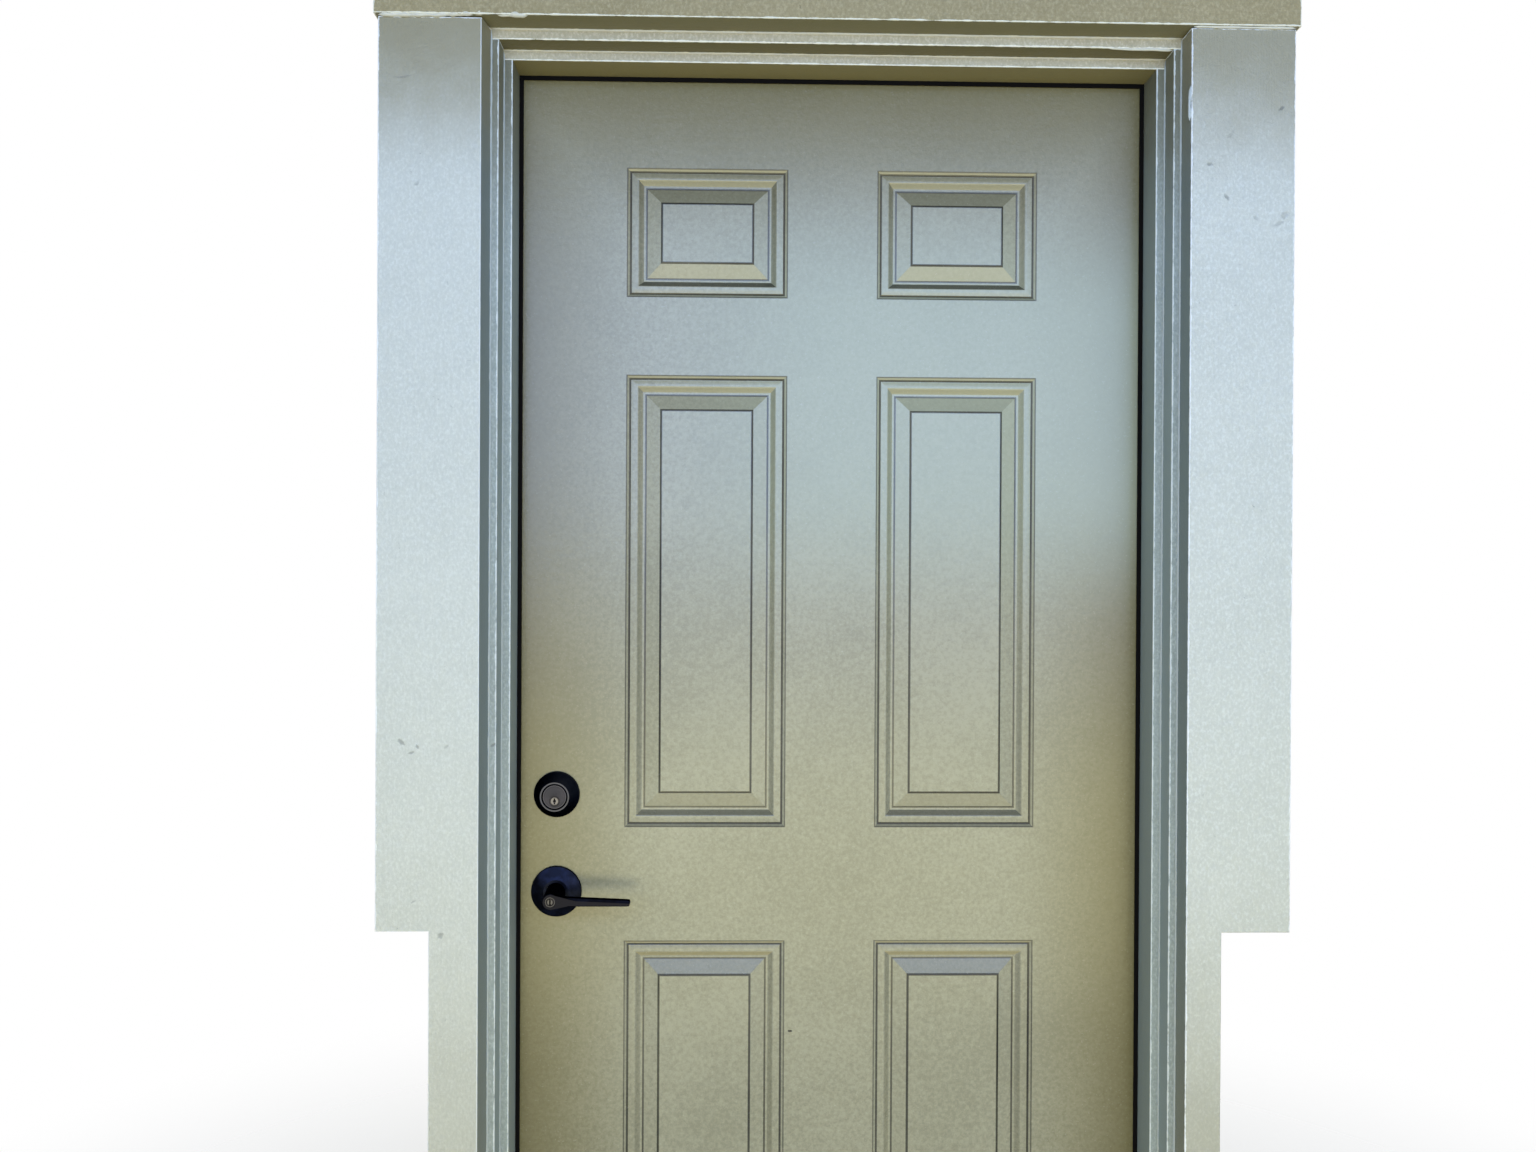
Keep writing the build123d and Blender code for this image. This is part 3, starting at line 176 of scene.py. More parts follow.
@dataclass(frozen=True)
class RaisedPanels:
    """Where the six raised panels are pressed into the leaf, and where dirt and painted shade lie in their
    moulding.

    The lines are pairs of an inset from the panel's edge in millimetres and how dark the dirt and painted
    shade are there.
    """

    centre_x: float = 0.178
    half_width: float = 0.114
    rows: tuple[tuple[float, float], ...] = ((0.2775, 0.814), (0.9765, 1.619), (1.730, 1.9125))
    reach_mm: float = 54.0
    lead_in_mm: float = 2.0
    lines: tuple[tuple[float, float], ...] = (
        (-0.8, 0.0), (-0.3, 0.75), (0.9, 0.75), (1.5, 0.0),
        (3.4, 0.0), (3.9, 1.0), (6.2, 1.0), (6.8, 0.0),
        (25.6, 0.0), (26.1, 0.95), (28.2, 0.95), (28.8, 0.0),
        (47.4, 0.0), (47.9, 1.0), (50.6, 1.0), (51.2, 0.0),
    )
    # The fall is a band of painted shade on the bead's steep side: none where it faces down, full where it
    # looks up, and fainter low on the leaf.
    fall: tuple[tuple[float, float], ...] = ((15.2, 0.0), (16.2, 1.0), (23.0, 1.0), (23.8, 0.0))
    fall_shade: float = 0.82
    fall_tilt: tuple[float, float] = (-0.15, 0.3)
    fall_shade_low: float = 1.55
    fall_shade_rise: float = 0.2
    fall_shade_least: float = 0.45

    def ramp(
        self, tree: bpy.types.NodeTree, inset: bpy.types.NodeSocket, lines: tuple[tuple[float, float], ...]
    ) -> bpy.types.NodeSocket:
        """Draw dark lines of dirt and painted crease shade on the way in from a panel's edge.

        Args:
            tree: The enamel's node tree.
            inset: The inset as a share of the reach.
            lines: Pairs of an inset in millimetres and the dirt and painted shade there.

        Returns:
            The dirt and shade, from 0 to 1.
        """
        drawn = add_node(tree, "ShaderNodeValToRGB", None, {0: inset})
        stops = drawn.color_ramp.elements
        for place_mm, dark in lines:
            stop = stops.new((place_mm + self.lead_in_mm) / self.reach_mm)
            stop.color = (dark, dark, dark, 1.0)
        stops[0].color = (0.0, 0.0, 0.0, 1.0)
        stops[len(stops) - 1].color = (0.0, 0.0, 0.0, 1.0)
        return drawn.outputs["Color"]

    def dirt_and_shade(
        self, tree: bpy.types.NodeTree, place: bpy.types.NodeSocket, tilt: bpy.types.NodeSocket
    ) -> bpy.types.NodeSocket:
        """Work out the dirt and painted shade from the place on the leaf.

        The bead's steep side gets painted shade where it looks up, more of it high on the leaf, and none
        where it faces down.

        Args:
            tree: The enamel's node tree.
            place: Object coordinates.
            tilt: How far the face looks up.

        Returns:
            The dirt and shade, from 0 to 1.
        """
        axes = add_node(tree, "ShaderNodeSeparateXYZ", None, {0: place})
        folded = add_node(tree, "ShaderNodeMath", {"operation": "ABSOLUTE"}, {0: axes.outputs["X"]})
        beyond_x = self.beyond(tree, folded.outputs[0], self.centre_x, self.half_width)
        nearest = None
        for low, high in self.rows:
            beyond_z = self.beyond(tree, axes.outputs["Z"], (low + high) / 2, (high - low) / 2)
            outside = add_node(tree, "ShaderNodeMath", {"operation": "MAXIMUM"}, {0: beyond_x, 1: beyond_z})
            if nearest is None:
                nearest = outside.outputs[0]
            else:
                nearest = add_node(tree, "ShaderNodeMath", {"operation": "MINIMUM"}, {
                    0: nearest, 1: outside.outputs[0],
                }).outputs[0]
        inset = add_node(tree, "ShaderNodeMapRange", None, {
            "Value": nearest, "From Min": self.lead_in_mm * MM,
            "From Max": (self.lead_in_mm - self.reach_mm) * MM,
        })
        facing_up = add_node(tree, "ShaderNodeMapRange", None, {
            "Value": tilt, "From Min": self.fall_tilt[0], "From Max": self.fall_tilt[1],
            "To Max": self.fall_shade,
        })
        fall_shade_height = add_node(tree, "ShaderNodeMapRange", None, {
            "Value": axes.outputs["Z"], "From Min": self.fall_shade_low,
            "From Max": self.fall_shade_low + self.fall_shade_rise, "To Min": self.fall_shade_least,
        })
        fall_shade_mask = add_node(tree, "ShaderNodeMath", {"operation": "MULTIPLY"}, {
            0: facing_up.outputs["Result"], 1: fall_shade_height.outputs["Result"],
        })
        fallen = add_node(tree, "ShaderNodeMath", {"operation": "MULTIPLY"}, {
            0: self.ramp(tree, inset.outputs["Result"], self.fall), 1: fall_shade_mask.outputs[0],
        })
        return add_node(tree, "ShaderNodeMath", {"operation": "MAXIMUM"}, {
            0: self.ramp(tree, inset.outputs["Result"], self.lines), 1: fallen.outputs[0],
        }).outputs[0]

    @staticmethod
    def beyond(
        tree: bpy.types.NodeTree, value: bpy.types.NodeSocket, centre: float, half: float
    ) -> bpy.types.NodeSocket:
        """Measure how far a coordinate lies beyond a span's ends.

        Args:
            tree: The enamel's node tree.
            value: The coordinate.
            centre: The span's middle.
            half: Half of its length.

        Returns:
            The distance, below zero inside the span.
        """
        offset = add_node(tree, "ShaderNodeMath", {"operation": "SUBTRACT"}, {0: value, 1: centre})
        away = add_node(tree, "ShaderNodeMath", {"operation": "ABSOLUTE"}, {0: offset.outputs[0]})
        return add_node(tree, "ShaderNodeMath", {"operation": "SUBTRACT"}, {
            0: away.outputs[0], 1: half,
        }).outputs[0]


@dataclass(frozen=True)
class SatinLeafEnamel(Finish):
    """Satin enamel rolled and sprayed over pressed galvanised steel.

    The eye sees a soft sheen with an even orange peel, a colour that clouds a little from hand to hand, and
    thin dark lines in the pressed quirks that are partly dirt and partly painted shade. Painted shade darkens
    the leaf toward its sides and top and on faces that look up, painted warm light pales faces that look
    down, and a painted sheen pales a band across the leaf. Tilts are how far a face looks up, from -1 to 1.
    """

    colour: str = "#a8a387"
    cloud: str = "#928e74"
    # Dark colour of the chip, and of the moulding lines, which are partly dirt and partly painted shade.
    grime_and_shade: str = "#1d1c15"
    # Painted shade that darkens the enamel toward the leaf's sides and top; faces looking indoors get only
    # part of it.
    edge_shade: str = "#665819"
    edge_shade_share: float = 0.72
    edge_shade_reach: float = 0.22
    # At the head the painted shade reaches farther and is stronger than at the sides, by these factors.
    head_reach: float = 1.3
    head_weight: float = 1.08
    indoor_share: float = 0.25
    indoor_turn: float = 0.3
    # Painted shade on faces that look up, darker the farther they are from the painted sheen's height.
    upward_shade: str = "#55533a"
    upward_shade_share: tuple[float, float] = (0.22, 0.56)
    upward_shade_reach: tuple[float, float] = (0.1, 0.3)
    upward_shade_tilt: tuple[float, float] = (0.08, 0.3)
    # A painted sheen: a paler band across the leaf at about this height, fading out toward the lock side;
    # faces looking indoors get only part of it.
    sheen_height: float = 1.58
    painted_sheen: str = "#b1b697"
    painted_sheen_share: float = 0.55
    painted_sheen_reach: tuple[float, float] = (0.34, 0.11)
    painted_sheen_across: tuple[float, float] = (-0.3, 0.02)
    # Painted warm light from the ground, on faces that look down.
    ground_bounce: str = "#c2b384"
    ground_bounce_share: float = 0.55
    ground_bounce_tilt: tuple[float, float] = (-0.1, -0.4)
    half_width: float = 0.454
    top: float = 2.0495
    fleck: tuple[float, float, float] = (-0.055, 0.0565, 0.6848)
    fleck_radius: float = 2.2 * MM
    fleck_shape: tuple[float, float, float] = (0.7, 1.0, 1.5)
    roughness: float = 0.26
    roughness_spread: float = 0.04
    # Real peel is about 1 mm, drawn coarser so that it shows in the picture.
    peel_mm: float = 3.2
    peel_height: float = 0.00013
    cloud_mm: float = 260.0
    mottle_mm: float = 5.0
    mottle_weight: float = 1.8
    mottle_range: tuple[float, float] = (1.1, 1.7)
    patchy_range: tuple[float, float] = (0.3, 0.7)
    patchy_least: float = 0.72
    roller_mm: float = 9.0
    roller_stretch: float = 0.25
    roller_weight: float = 0.8
    index: float = 1.55
    panels: RaisedPanels = RaisedPanels()

    def edge_shading(self, tree: bpy.types.NodeTree, place: bpy.types.NodeSocket) -> bpy.types.NodeSocket:
        """Work out the painted shade that darkens the enamel toward the leaf's sides and top.

        Args:
            tree: The enamel's node tree.
            place: Object coordinates.

        Returns:
            The painted shade, from 0 to its share.
        """
        axes = add_node(tree, "ShaderNodeSeparateXYZ", None, {0: place})
        across = add_node(tree, "ShaderNodeMath", {"operation": "ABSOLUTE"}, {0: axes.outputs["X"]})
        side = add_node(tree, "ShaderNodeMapRange", {"interpolation_type": "SMOOTHSTEP"}, {
            "Value": across.outputs[0], "From Min": self.half_width - self.edge_shade_reach,
            "From Max": self.half_width, "To Max": self.edge_shade_share,
        })
        head = add_node(tree, "ShaderNodeMapRange", {"interpolation_type": "SMOOTHSTEP"}, {
            "Value": axes.outputs["Z"], "From Min": self.top - self.head_reach * self.edge_shade_reach,
            "From Max": self.top, "To Max": self.head_weight * self.edge_shade_share,
        })
        return add_node(tree, "ShaderNodeMath", {"operation": "MAXIMUM"}, {
            0: side.outputs["Result"], 1: head.outputs["Result"],
        }).outputs[0]

    def from_sheen_height(
        self, tree: bpy.types.NodeTree, place: bpy.types.NodeSocket
    ) -> bpy.types.NodeSocket:
        """Measure how far above or below the middle of the painted sheen band a point lies.

        Args:
            tree: The enamel's node tree.
            place: Object coordinates.

        Returns:
            The distance in metres.
        """
        axes = add_node(tree, "ShaderNodeSeparateXYZ", None, {0: place})
        off_height = add_node(tree, "ShaderNodeMath", {"operation": "SUBTRACT"}, {
            0: axes.outputs["Z"], 1: self.sheen_height,
        })
        away = add_node(tree, "ShaderNodeMath", {"operation": "ABSOLUTE"}, {0: off_height.outputs[0]})
        return away.outputs[0]

    def sheen_band(self, tree: bpy.types.NodeTree, place: bpy.types.NodeSocket) -> bpy.types.NodeSocket:
        """Work out the painted sheen that pales a band across the leaf, strongest toward the hinge side.

        Args:
            tree: The enamel's node tree.
            place: Object coordinates.

        Returns:
            The painted sheen, from 0 to its share.
        """
        axes = add_node(tree, "ShaderNodeSeparateXYZ", None, {0: place})
        band = add_node(tree, "ShaderNodeMapRange", {"interpolation_type": "SMOOTHSTEP"}, {
            "Value": self.from_sheen_height(tree, place), "From Min": self.painted_sheen_reach[0],
            "From Max": self.painted_sheen_reach[1], "To Max": self.painted_sheen_share,
        })
        across = add_node(tree, "ShaderNodeMapRange", {"interpolation_type": "SMOOTHSTEP"}, {
            "Value": axes.outputs["X"], "From Min": self.painted_sheen_across[0], "From Max": self.painted_sheen_across[1],
        })
        return add_node(tree, "ShaderNodeMath", {"operation": "MULTIPLY"}, {
            0: band.outputs["Result"], 1: across.outputs["Result"],
        }).outputs[0]

    def surface(self, tree: bpy.types.NodeTree) -> bpy.types.NodeSocket:
        """Build the enamel's shader.

        Args:
            tree: The material's empty node tree.

        Returns:
            The shader's output.
        """
        place = add_node(tree, "ShaderNodeTexCoord").outputs["Object"]
        cloud = add_node(tree, "ShaderNodeTexNoise", None, {
            "Vector": place, "Scale": cells(self.cloud_mm), "Detail": 3.0, "Roughness": 0.55,
        })
        mottle = add_node(tree, "ShaderNodeTexNoise", None, {
            "Vector": place, "Scale": cells(self.mottle_mm), "Detail": 3.0, "Roughness": 0.7,
        })
        shade = add_node(tree, "ShaderNodeMath", {"operation": "MULTIPLY_ADD"}, {
            0: mottle.outputs["Fac"], 1: self.mottle_weight, 2: cloud.outputs["Fac"],
        })
        share = add_node(tree, "ShaderNodeMapRange", None, {
            "Value": shade.outputs[0], "From Min": self.mottle_range[0], "From Max": self.mottle_range[1],
        })
        clouded = add_node(tree, "ShaderNodeMix", {"data_type": "RGBA"}, {
            0: share.outputs["Result"], 6: linear(self.colour), 7: linear(self.cloud),
        })
        facing = add_node(tree, "ShaderNodeSeparateXYZ", None, {
            0: add_node(tree, "ShaderNodeTexCoord").outputs["Normal"],
        })
        outdoors = add_node(tree, "ShaderNodeMapRange", None, {
            "Value": facing.outputs["Y"], "From Min": self.indoor_turn, "From Max": -self.indoor_turn,
            "To Min": self.indoor_share,
        })
        # Painted shade toward the leaf's edges, less of it on the indoor face.
        edge_shading = add_node(tree, "ShaderNodeMath", {"operation": "MULTIPLY"}, {
            0: self.edge_shading(tree, place), 1: outdoors.outputs["Result"],
        })
        edge_shaded = add_node(tree, "ShaderNodeMix", {"data_type": "RGBA"}, {
            0: edge_shading.outputs[0], 6: clouded.outputs[2], 7: linear(self.edge_shade),
        })
        # Painted sheen across the leaf's upper middle.
        paled = add_node(tree, "ShaderNodeMath", {"operation": "MULTIPLY"}, {
            0: self.sheen_band(tree, place), 1: outdoors.outputs["Result"],
        })
        pale = add_node(tree, "ShaderNodeMix", {"data_type": "RGBA"}, {
            0: paled.outputs[0], 6: edge_shaded.outputs[2], 7: linear(self.painted_sheen),
        })
        # Painted warm ground light on faces that look down.
        below = add_node(tree, "ShaderNodeMapRange", None, {
            "Value": facing.outputs["Z"], "From Min": self.ground_bounce_tilt[0],
            "From Max": self.ground_bounce_tilt[1], "To Max": self.ground_bounce_share,
        })
        kept = add_node(tree, "ShaderNodeMix", {"data_type": "RGBA"}, {
            0: below.outputs["Result"], 6: pale.outputs[2], 7: linear(self.ground_bounce),
        })
        # Painted shade on faces that look up.
        height_share = add_node(tree, "ShaderNodeMapRange", None, {
            "Value": self.from_sheen_height(tree, place),
            "From Min": self.upward_shade_reach[0], "From Max": self.upward_shade_reach[1],
            "To Min": self.upward_shade_share[0], "To Max": self.upward_shade_share[1],
        })
        facing_up = add_node(tree, "ShaderNodeMapRange", None, {
            "Value": facing.outputs["Z"], "From Min": self.upward_shade_tilt[0], "From Max": self.upward_shade_tilt[1],
            "To Max": height_share.outputs["Result"],
        })
        upward_shaded = add_node(tree, "ShaderNodeMix", {"data_type": "RGBA"}, {
            0: facing_up.outputs["Result"], 6: kept.outputs[2], 7: linear(self.upward_shade),
        })
        chip = add_node(tree, "ShaderNodeVectorMath", {"operation": "SUBTRACT"}, {0: place, 1: self.fleck})
        flattened = add_node(tree, "ShaderNodeVectorMath", {"operation": "MULTIPLY"}, {
            0: chip.outputs["Vector"], 1: self.fleck_shape,
        })
        from_fleck = add_node(tree, "ShaderNodeVectorMath", {"operation": "LENGTH"}, {
            0: flattened.outputs["Vector"],
        })
        specked = add_node(tree, "ShaderNodeMix", {"data_type": "RGBA"}, {
            0: add_node(tree, "ShaderNodeMath", {"operation": "LESS_THAN"}, {
                0: from_fleck.outputs["Value"], 1: self.fleck_radius,
            }).outputs[0],
            6: upward_shaded.outputs[2], 7: linear(self.grime_and_shade),
        })
        # The moulding lines and fall band: partly dirt, partly painted shade.
        dirt_and_shade = self.panels.dirt_and_shade(tree, place, facing.outputs["Z"])
        patchy = add_node(tree, "ShaderNodeMapRange", None, {
            "Value": cloud.outputs["Fac"], "From Min": self.patchy_range[0],
            "From Max": self.patchy_range[1], "To Min": self.patchy_least,
        })
        laid = add_node(tree, "ShaderNodeMath", {"operation": "MULTIPLY"}, {
            0: dirt_and_shade, 1: patchy.outputs["Result"],
        })
        grimed_and_shaded = add_node(tree, "ShaderNodeMix", {"data_type": "RGBA"}, {
            0: laid.outputs[0], 6: specked.outputs[2], 7: linear(self.grime_and_shade),
        })
        peel = add_node(tree, "ShaderNodeTexNoise", None, {
            "Vector": place, "Scale": cells(self.peel_mm), "Detail": 2.0, "Roughness": 0.6,
        })
        stretch = add_node(tree, "ShaderNodeMapping", None, {
            "Vector": place, "Scale": (self.roller_stretch, 1.0, 1.0),
        })
        roller = add_node(tree, "ShaderNodeTexNoise", None, {
            "Vector": stretch.outputs["Vector"], "Scale": cells(self.roller_mm), "Detail": 3.0,
        })
        height = add_node(tree, "ShaderNodeMath", {"operation": "MULTIPLY_ADD"}, {
            0: roller.outputs["Fac"], 1: self.roller_weight, 2: peel.outputs["Fac"],
        })
        bump = add_node(tree, "ShaderNodeBump", None, {
            "Height": height.outputs["Value"], "Strength": 1.0, "Distance": self.peel_height,
        })
        gloss = add_node(tree, "ShaderNodeMapRange", None, {
            "Value": peel.outputs["Fac"], "To Min": self.roughness - self.roughness_spread,
            "To Max": self.roughness + self.roughness_spread,
        })
        return add_node(tree, "ShaderNodeBsdfPrincipled", None, {
            "Base Color": grimed_and_shaded.outputs[2], "Roughness": gloss.outputs["Result"],
            "Normal": bump.outputs["Normal"], "IOR": self.index,
        }).outputs["BSDF"]


@dataclass(frozen=True)
class BrushedHousePaint(Finish):
    """Eggshell house paint brushed many times over planed softwood.

    The eye sees long brush marks along the board, small mottles and scrapes filled over, a few pits, and pale
    arrises that are partly rubbed paint and partly a painted highlight. The pale arrises are those of the box
    of the node that is named. Painted shade darkens undersides, side faces and the board's top, and the board
    is darker toward its foot.
    """

    board: str = "lock_casing"
    colour: str = "#d8d7c6"
    shade: str = "#cacab9"
    speck: str = "#dedfd1"
    # Pale arris colour: partly rubbed paint, partly a painted highlight.
    rubbed: str = "#fafaf2"
    pit: str = "#77776c"
    # Painted shade on faces that look down.
    underside_shade: str = "#b2b5a6"
    # Painted shade on side faces that look along the doorway.
    reveal_shade: str = "#7f8a86"
    # Colour of the painted shade that hangs down from the board's top, and of the darkening toward its foot.
    darkening: str = "#938a69"
    top_shade_share: float = 0.0
    top_shade_reach: float = 0.24
    foot_darkening_share: float = 0.0
    foot_darkening_reach: float = 1.1
    # The painted top shade's uneven edge, where it starts below the top and ends above it, and where the
    # darkening toward the foot is full, all as shares of their reach.
    top_shade_wander: float = 0.6
    top_shade_start: float = 0.7
    top_shade_end: float = 0.3
    foot_darkening_full: float = 0.3
    grain: Grain = Grain.UP
    roughness: float = 0.5
    # Bristles leave marks of about 0.7 mm, drawn coarser so that they show.
    bristle_mm: float = 3.0
    bristle_stretch: float = 28.0
    relief: float = 0.00045
    index: float = 1.48
    speck_mm: float = 4.5
    speck_stretch: tuple[float, float, float] = (1.25, 1.0, 0.9)
    speck_share: float = 0.5
    speck_range: tuple[float, float] = (0.52, 0.66)
    speck_relief: float = 0.9
    mottle_weight: float = 2.2
    mottle_range: tuple[float, float] = (1.15, 2.05)
    scrape_mm: float = 22.0
    scrape_relief: float = 2.4
    pit_range: tuple[float, float] = (0.67, 0.74)
    pit_share: float = 0.7
    cloud_mm: float = 130.0
    underside_shade_tilt: tuple[float, float] = (-0.5, -0.8)
    reveal_shade_turn: tuple[float, float] = (0.75, 0.95)
    arris_mm: float = 1.5
    ragged_mm: float = 16.0
    ragged_range: tuple[float, float] = (0.3, 0.7)
    ragged_reach: tuple[float, float] = (0.35, 1.6)
    arris_highlight_edge: tuple[float, float] = (1.25, 0.75)

    def arris_wear_and_highlight(self, tree: bpy.types.NodeTree, place: bpy.types.NodeSocket) -> bpy.types.NodeSocket:
        """Work out the pale arris, partly rubbed paint and partly a painted highlight, from the distance to
        the board's nearest arris.

        Args:
            tree: The paint's node tree.
            place: Object coordinates.

        Returns:
            The wear and highlight, from 0 to 1.
        """
        low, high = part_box(self.board)
        axes = add_node(tree, "ShaderNodeSeparateXYZ", None, {0: place})
        depths = []
        for axis, name in enumerate("XYZ"):
            centre = add_node(tree, "ShaderNodeMath", {"operation": "SUBTRACT"}, {
                0: axes.outputs[name], 1: (low[axis] + high[axis]) / 2,
            })
            away = add_node(tree, "ShaderNodeMath", {"operation": "ABSOLUTE"}, {0: centre.outputs[0]})
            depths.append(add_node(tree, "ShaderNodeMath", {"operation": "SUBTRACT"}, {
                0: (high[axis] - low[axis]) / 2, 1: away.outputs[0],
            }).outputs[0])
        nearer = add_node(tree, "ShaderNodeMath", {"operation": "MINIMUM"}, {0: depths[0], 1: depths[1]})
        farther = add_node(tree, "ShaderNodeMath", {"operation": "MAXIMUM"}, {0: depths[0], 1: depths[1]})
        capped = add_node(tree, "ShaderNodeMath", {"operation": "MINIMUM"}, {
            0: farther.outputs[0], 1: depths[2],
        })
        arris = add_node(tree, "ShaderNodeMath", {"operation": "MAXIMUM"}, {
            0: nearer.outputs[0], 1: capped.outputs[0],
        })
        ragged = add_node(tree, "ShaderNodeTexNoise", None, {
            "Vector": place, "Scale": cells(self.ragged_mm), "Detail": 4.0, "Roughness": 0.7,
        })
        reach = add_node(tree, "ShaderNodeMapRange", None, {
            "Value": ragged.outputs["Fac"], "From Min": self.ragged_range[0],
            "From Max": self.ragged_range[1], "To Min": self.ragged_reach[0] * self.arris_mm * MM,
            "To Max": self.ragged_reach[1] * self.arris_mm * MM,
        })
        ratio = add_node(tree, "ShaderNodeMath", {"operation": "DIVIDE"}, {
            0: arris.outputs[0], 1: reach.outputs["Result"],
        })
        return add_node(tree, "ShaderNodeMapRange", {"interpolation_type": "SMOOTHSTEP"}, {
            "Value": ratio.outputs[0], "From Min": self.arris_highlight_edge[0], "From Max": self.arris_highlight_edge[1],
        }).outputs["Result"]

    def top_shade_and_foot_darkening(
        self, tree: bpy.types.NodeTree, place: bpy.types.NodeSocket, cloud: bpy.types.NodeSocket
    ) -> bpy.types.NodeSocket:
        """Work out the painted shade that hangs down from the board's top, and the darkening toward the
        board's foot.

        Args:
            tree: The paint's node tree.
            place: Object coordinates.
            cloud: Slow noise that makes the edges of the shade and of the darkening uneven.

        Returns:
            The shade and darkening, from 0 to its share.
        """
        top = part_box(self.board)[1].z
        axes = add_node(tree, "ShaderNodeSeparateXYZ", None, {0: place})
        uneven = add_node(tree, "ShaderNodeMath", {"operation": "MULTIPLY_ADD"}, {
            0: cloud, 1: self.top_shade_wander * self.top_shade_reach, 2: axes.outputs["Z"],
        })
        hanging = add_node(tree, "ShaderNodeMapRange", {"interpolation_type": "SMOOTHSTEP"}, {
            "Value": uneven.outputs[0], "From Min": top - self.top_shade_start * self.top_shade_reach,
            "From Max": top + self.top_shade_end * self.top_shade_reach, "To Max": self.top_shade_share,
        })
        foot_darkened = add_node(tree, "ShaderNodeMapRange", {"interpolation_type": "SMOOTHSTEP"}, {
            "Value": uneven.outputs[0], "From Min": self.foot_darkening_reach,
            "From Max": self.foot_darkening_full * self.foot_darkening_reach, "To Max": self.foot_darkening_share,
        })
        return add_node(tree, "ShaderNodeMath", {"operation": "MAXIMUM"}, {
            0: hanging.outputs["Result"], 1: foot_darkened.outputs["Result"],
        }).outputs[0]

    def surface(self, tree: bpy.types.NodeTree) -> bpy.types.NodeSocket:
        """Build the paint's shader.

        Args:
            tree: The material's empty node tree.

        Returns:
            The shader's output.
        """
        place = add_node(tree, "ShaderNodeTexCoord").outputs["Object"]
        along = 1 / self.bristle_stretch
        scale = (1.0, 1.0, along) if self.grain is Grain.UP else (along, 1.0, 1.0)
        stretch = add_node(tree, "ShaderNodeMapping", None, {"Vector": place, "Scale": scale})
        bristles = add_node(tree, "ShaderNodeTexNoise", None, {
            "Vector": stretch.outputs["Vector"], "Scale": cells(self.bristle_mm), "Detail": 4.0,
            "Roughness": 0.6,
        })
        cloud = add_node(tree, "ShaderNodeTexNoise", None, {
            "Vector": place, "Scale": cells(self.cloud_mm), "Detail": 5.0, "Roughness": 0.65,
        })
        brushed = add_node(tree, "ShaderNodeMapping", None, {"Vector": place, "Scale": self.speck_stretch})
        specks = add_node(tree, "ShaderNodeTexNoise", None, {
            "Vector": brushed.outputs["Vector"], "Scale": cells(self.speck_mm), "Detail": 3.0,
            "Roughness": 0.7,
        })
        mottle = add_node(tree, "ShaderNodeMath", {"operation": "MULTIPLY_ADD"}, {
            0: specks.outputs["Fac"], 1: self.mottle_weight, 2: cloud.outputs["Fac"],
        })
        depth = add_node(tree, "ShaderNodeMapRange", None, {
            "Value": mottle.outputs["Value"], "From Min": self.mottle_range[0],
            "From Max": self.mottle_range[1],
        })
        laid = add_node(tree, "ShaderNodeMix", {"data_type": "RGBA"}, {
            0: depth.outputs["Result"], 6: linear(self.shade), 7: linear(self.colour),
        })
        scrapes = add_node(tree, "ShaderNodeTexNoise", None, {
            "Vector": place, "Scale": cells(self.scrape_mm), "Detail": 5.0, "Roughness": 0.75,
            "Distortion": 1.2,
        })
        speck_mask = add_node(tree, "ShaderNodeMapRange", None, {
            "Value": specks.outputs["Fac"], "From Min": self.speck_range[0], "From Max": self.speck_range[1],
            "To Max": self.speck_share,
        })
        specked = add_node(tree, "ShaderNodeMix", {"data_type": "RGBA"}, {
            0: speck_mask.outputs["Result"], 6: laid.outputs[2], 7: linear(self.speck),
        })
        pit_mask = add_node(tree, "ShaderNodeMapRange", None, {
            "Value": scrapes.outputs["Fac"], "From Min": self.pit_range[0], "From Max": self.pit_range[1],
            "To Max": self.pit_share,
        })
        pitted = add_node(tree, "ShaderNodeMix", {"data_type": "RGBA"}, {
            0: pit_mask.outputs["Result"], 6: specked.outputs[2], 7: linear(self.pit),
        })
        facing = add_node(tree, "ShaderNodeSeparateXYZ", None, {
            0: add_node(tree, "ShaderNodeTexCoord").outputs["Normal"],
        })
        # Painted shade on undersides.
        below = add_node(tree, "ShaderNodeMapRange", None, {
            "Value": facing.outputs["Z"], "From Min": self.underside_shade_tilt[0],
            "From Max": self.underside_shade_tilt[1],
        })
        shaded = add_node(tree, "ShaderNodeMix", {"data_type": "RGBA"}, {
            0: below.outputs["Result"], 6: pitted.outputs[2], 7: linear(self.underside_shade),
        })
        # Painted shade on side faces.
        sideways = add_node(tree, "ShaderNodeMath", {"operation": "ABSOLUTE"}, {0: facing.outputs["X"]})
        returned = add_node(tree, "ShaderNodeMapRange", None, {
            "Value": sideways.outputs[0], "From Min": self.reveal_shade_turn[0], "From Max": self.reveal_shade_turn[1],
        })
        turned = add_node(tree, "ShaderNodeMix", {"data_type": "RGBA"}, {
            0: returned.outputs["Result"], 6: shaded.outputs[2], 7: linear(self.reveal_shade),
        })
        # Painted shade from the board's top, and darker toward its foot.
        darkened = add_node(tree, "ShaderNodeMix", {"data_type": "RGBA"}, {
            0: self.top_shade_and_foot_darkening(tree, place, cloud.outputs["Fac"]), 6: turned.outputs[2], 7: linear(self.darkening),
        })
        # Dents darkened partly by dirt, partly by painted shade.
        knocked = add_node(tree, "ShaderNodeMix", {"data_type": "RGBA"}, {
            0: add_node(tree, "ShaderNodeAttribute", {"attribute_name": "dirt_and_shade"}).outputs["Fac"],
            6: darkened.outputs[2], 7: linear(self.pit),
        })
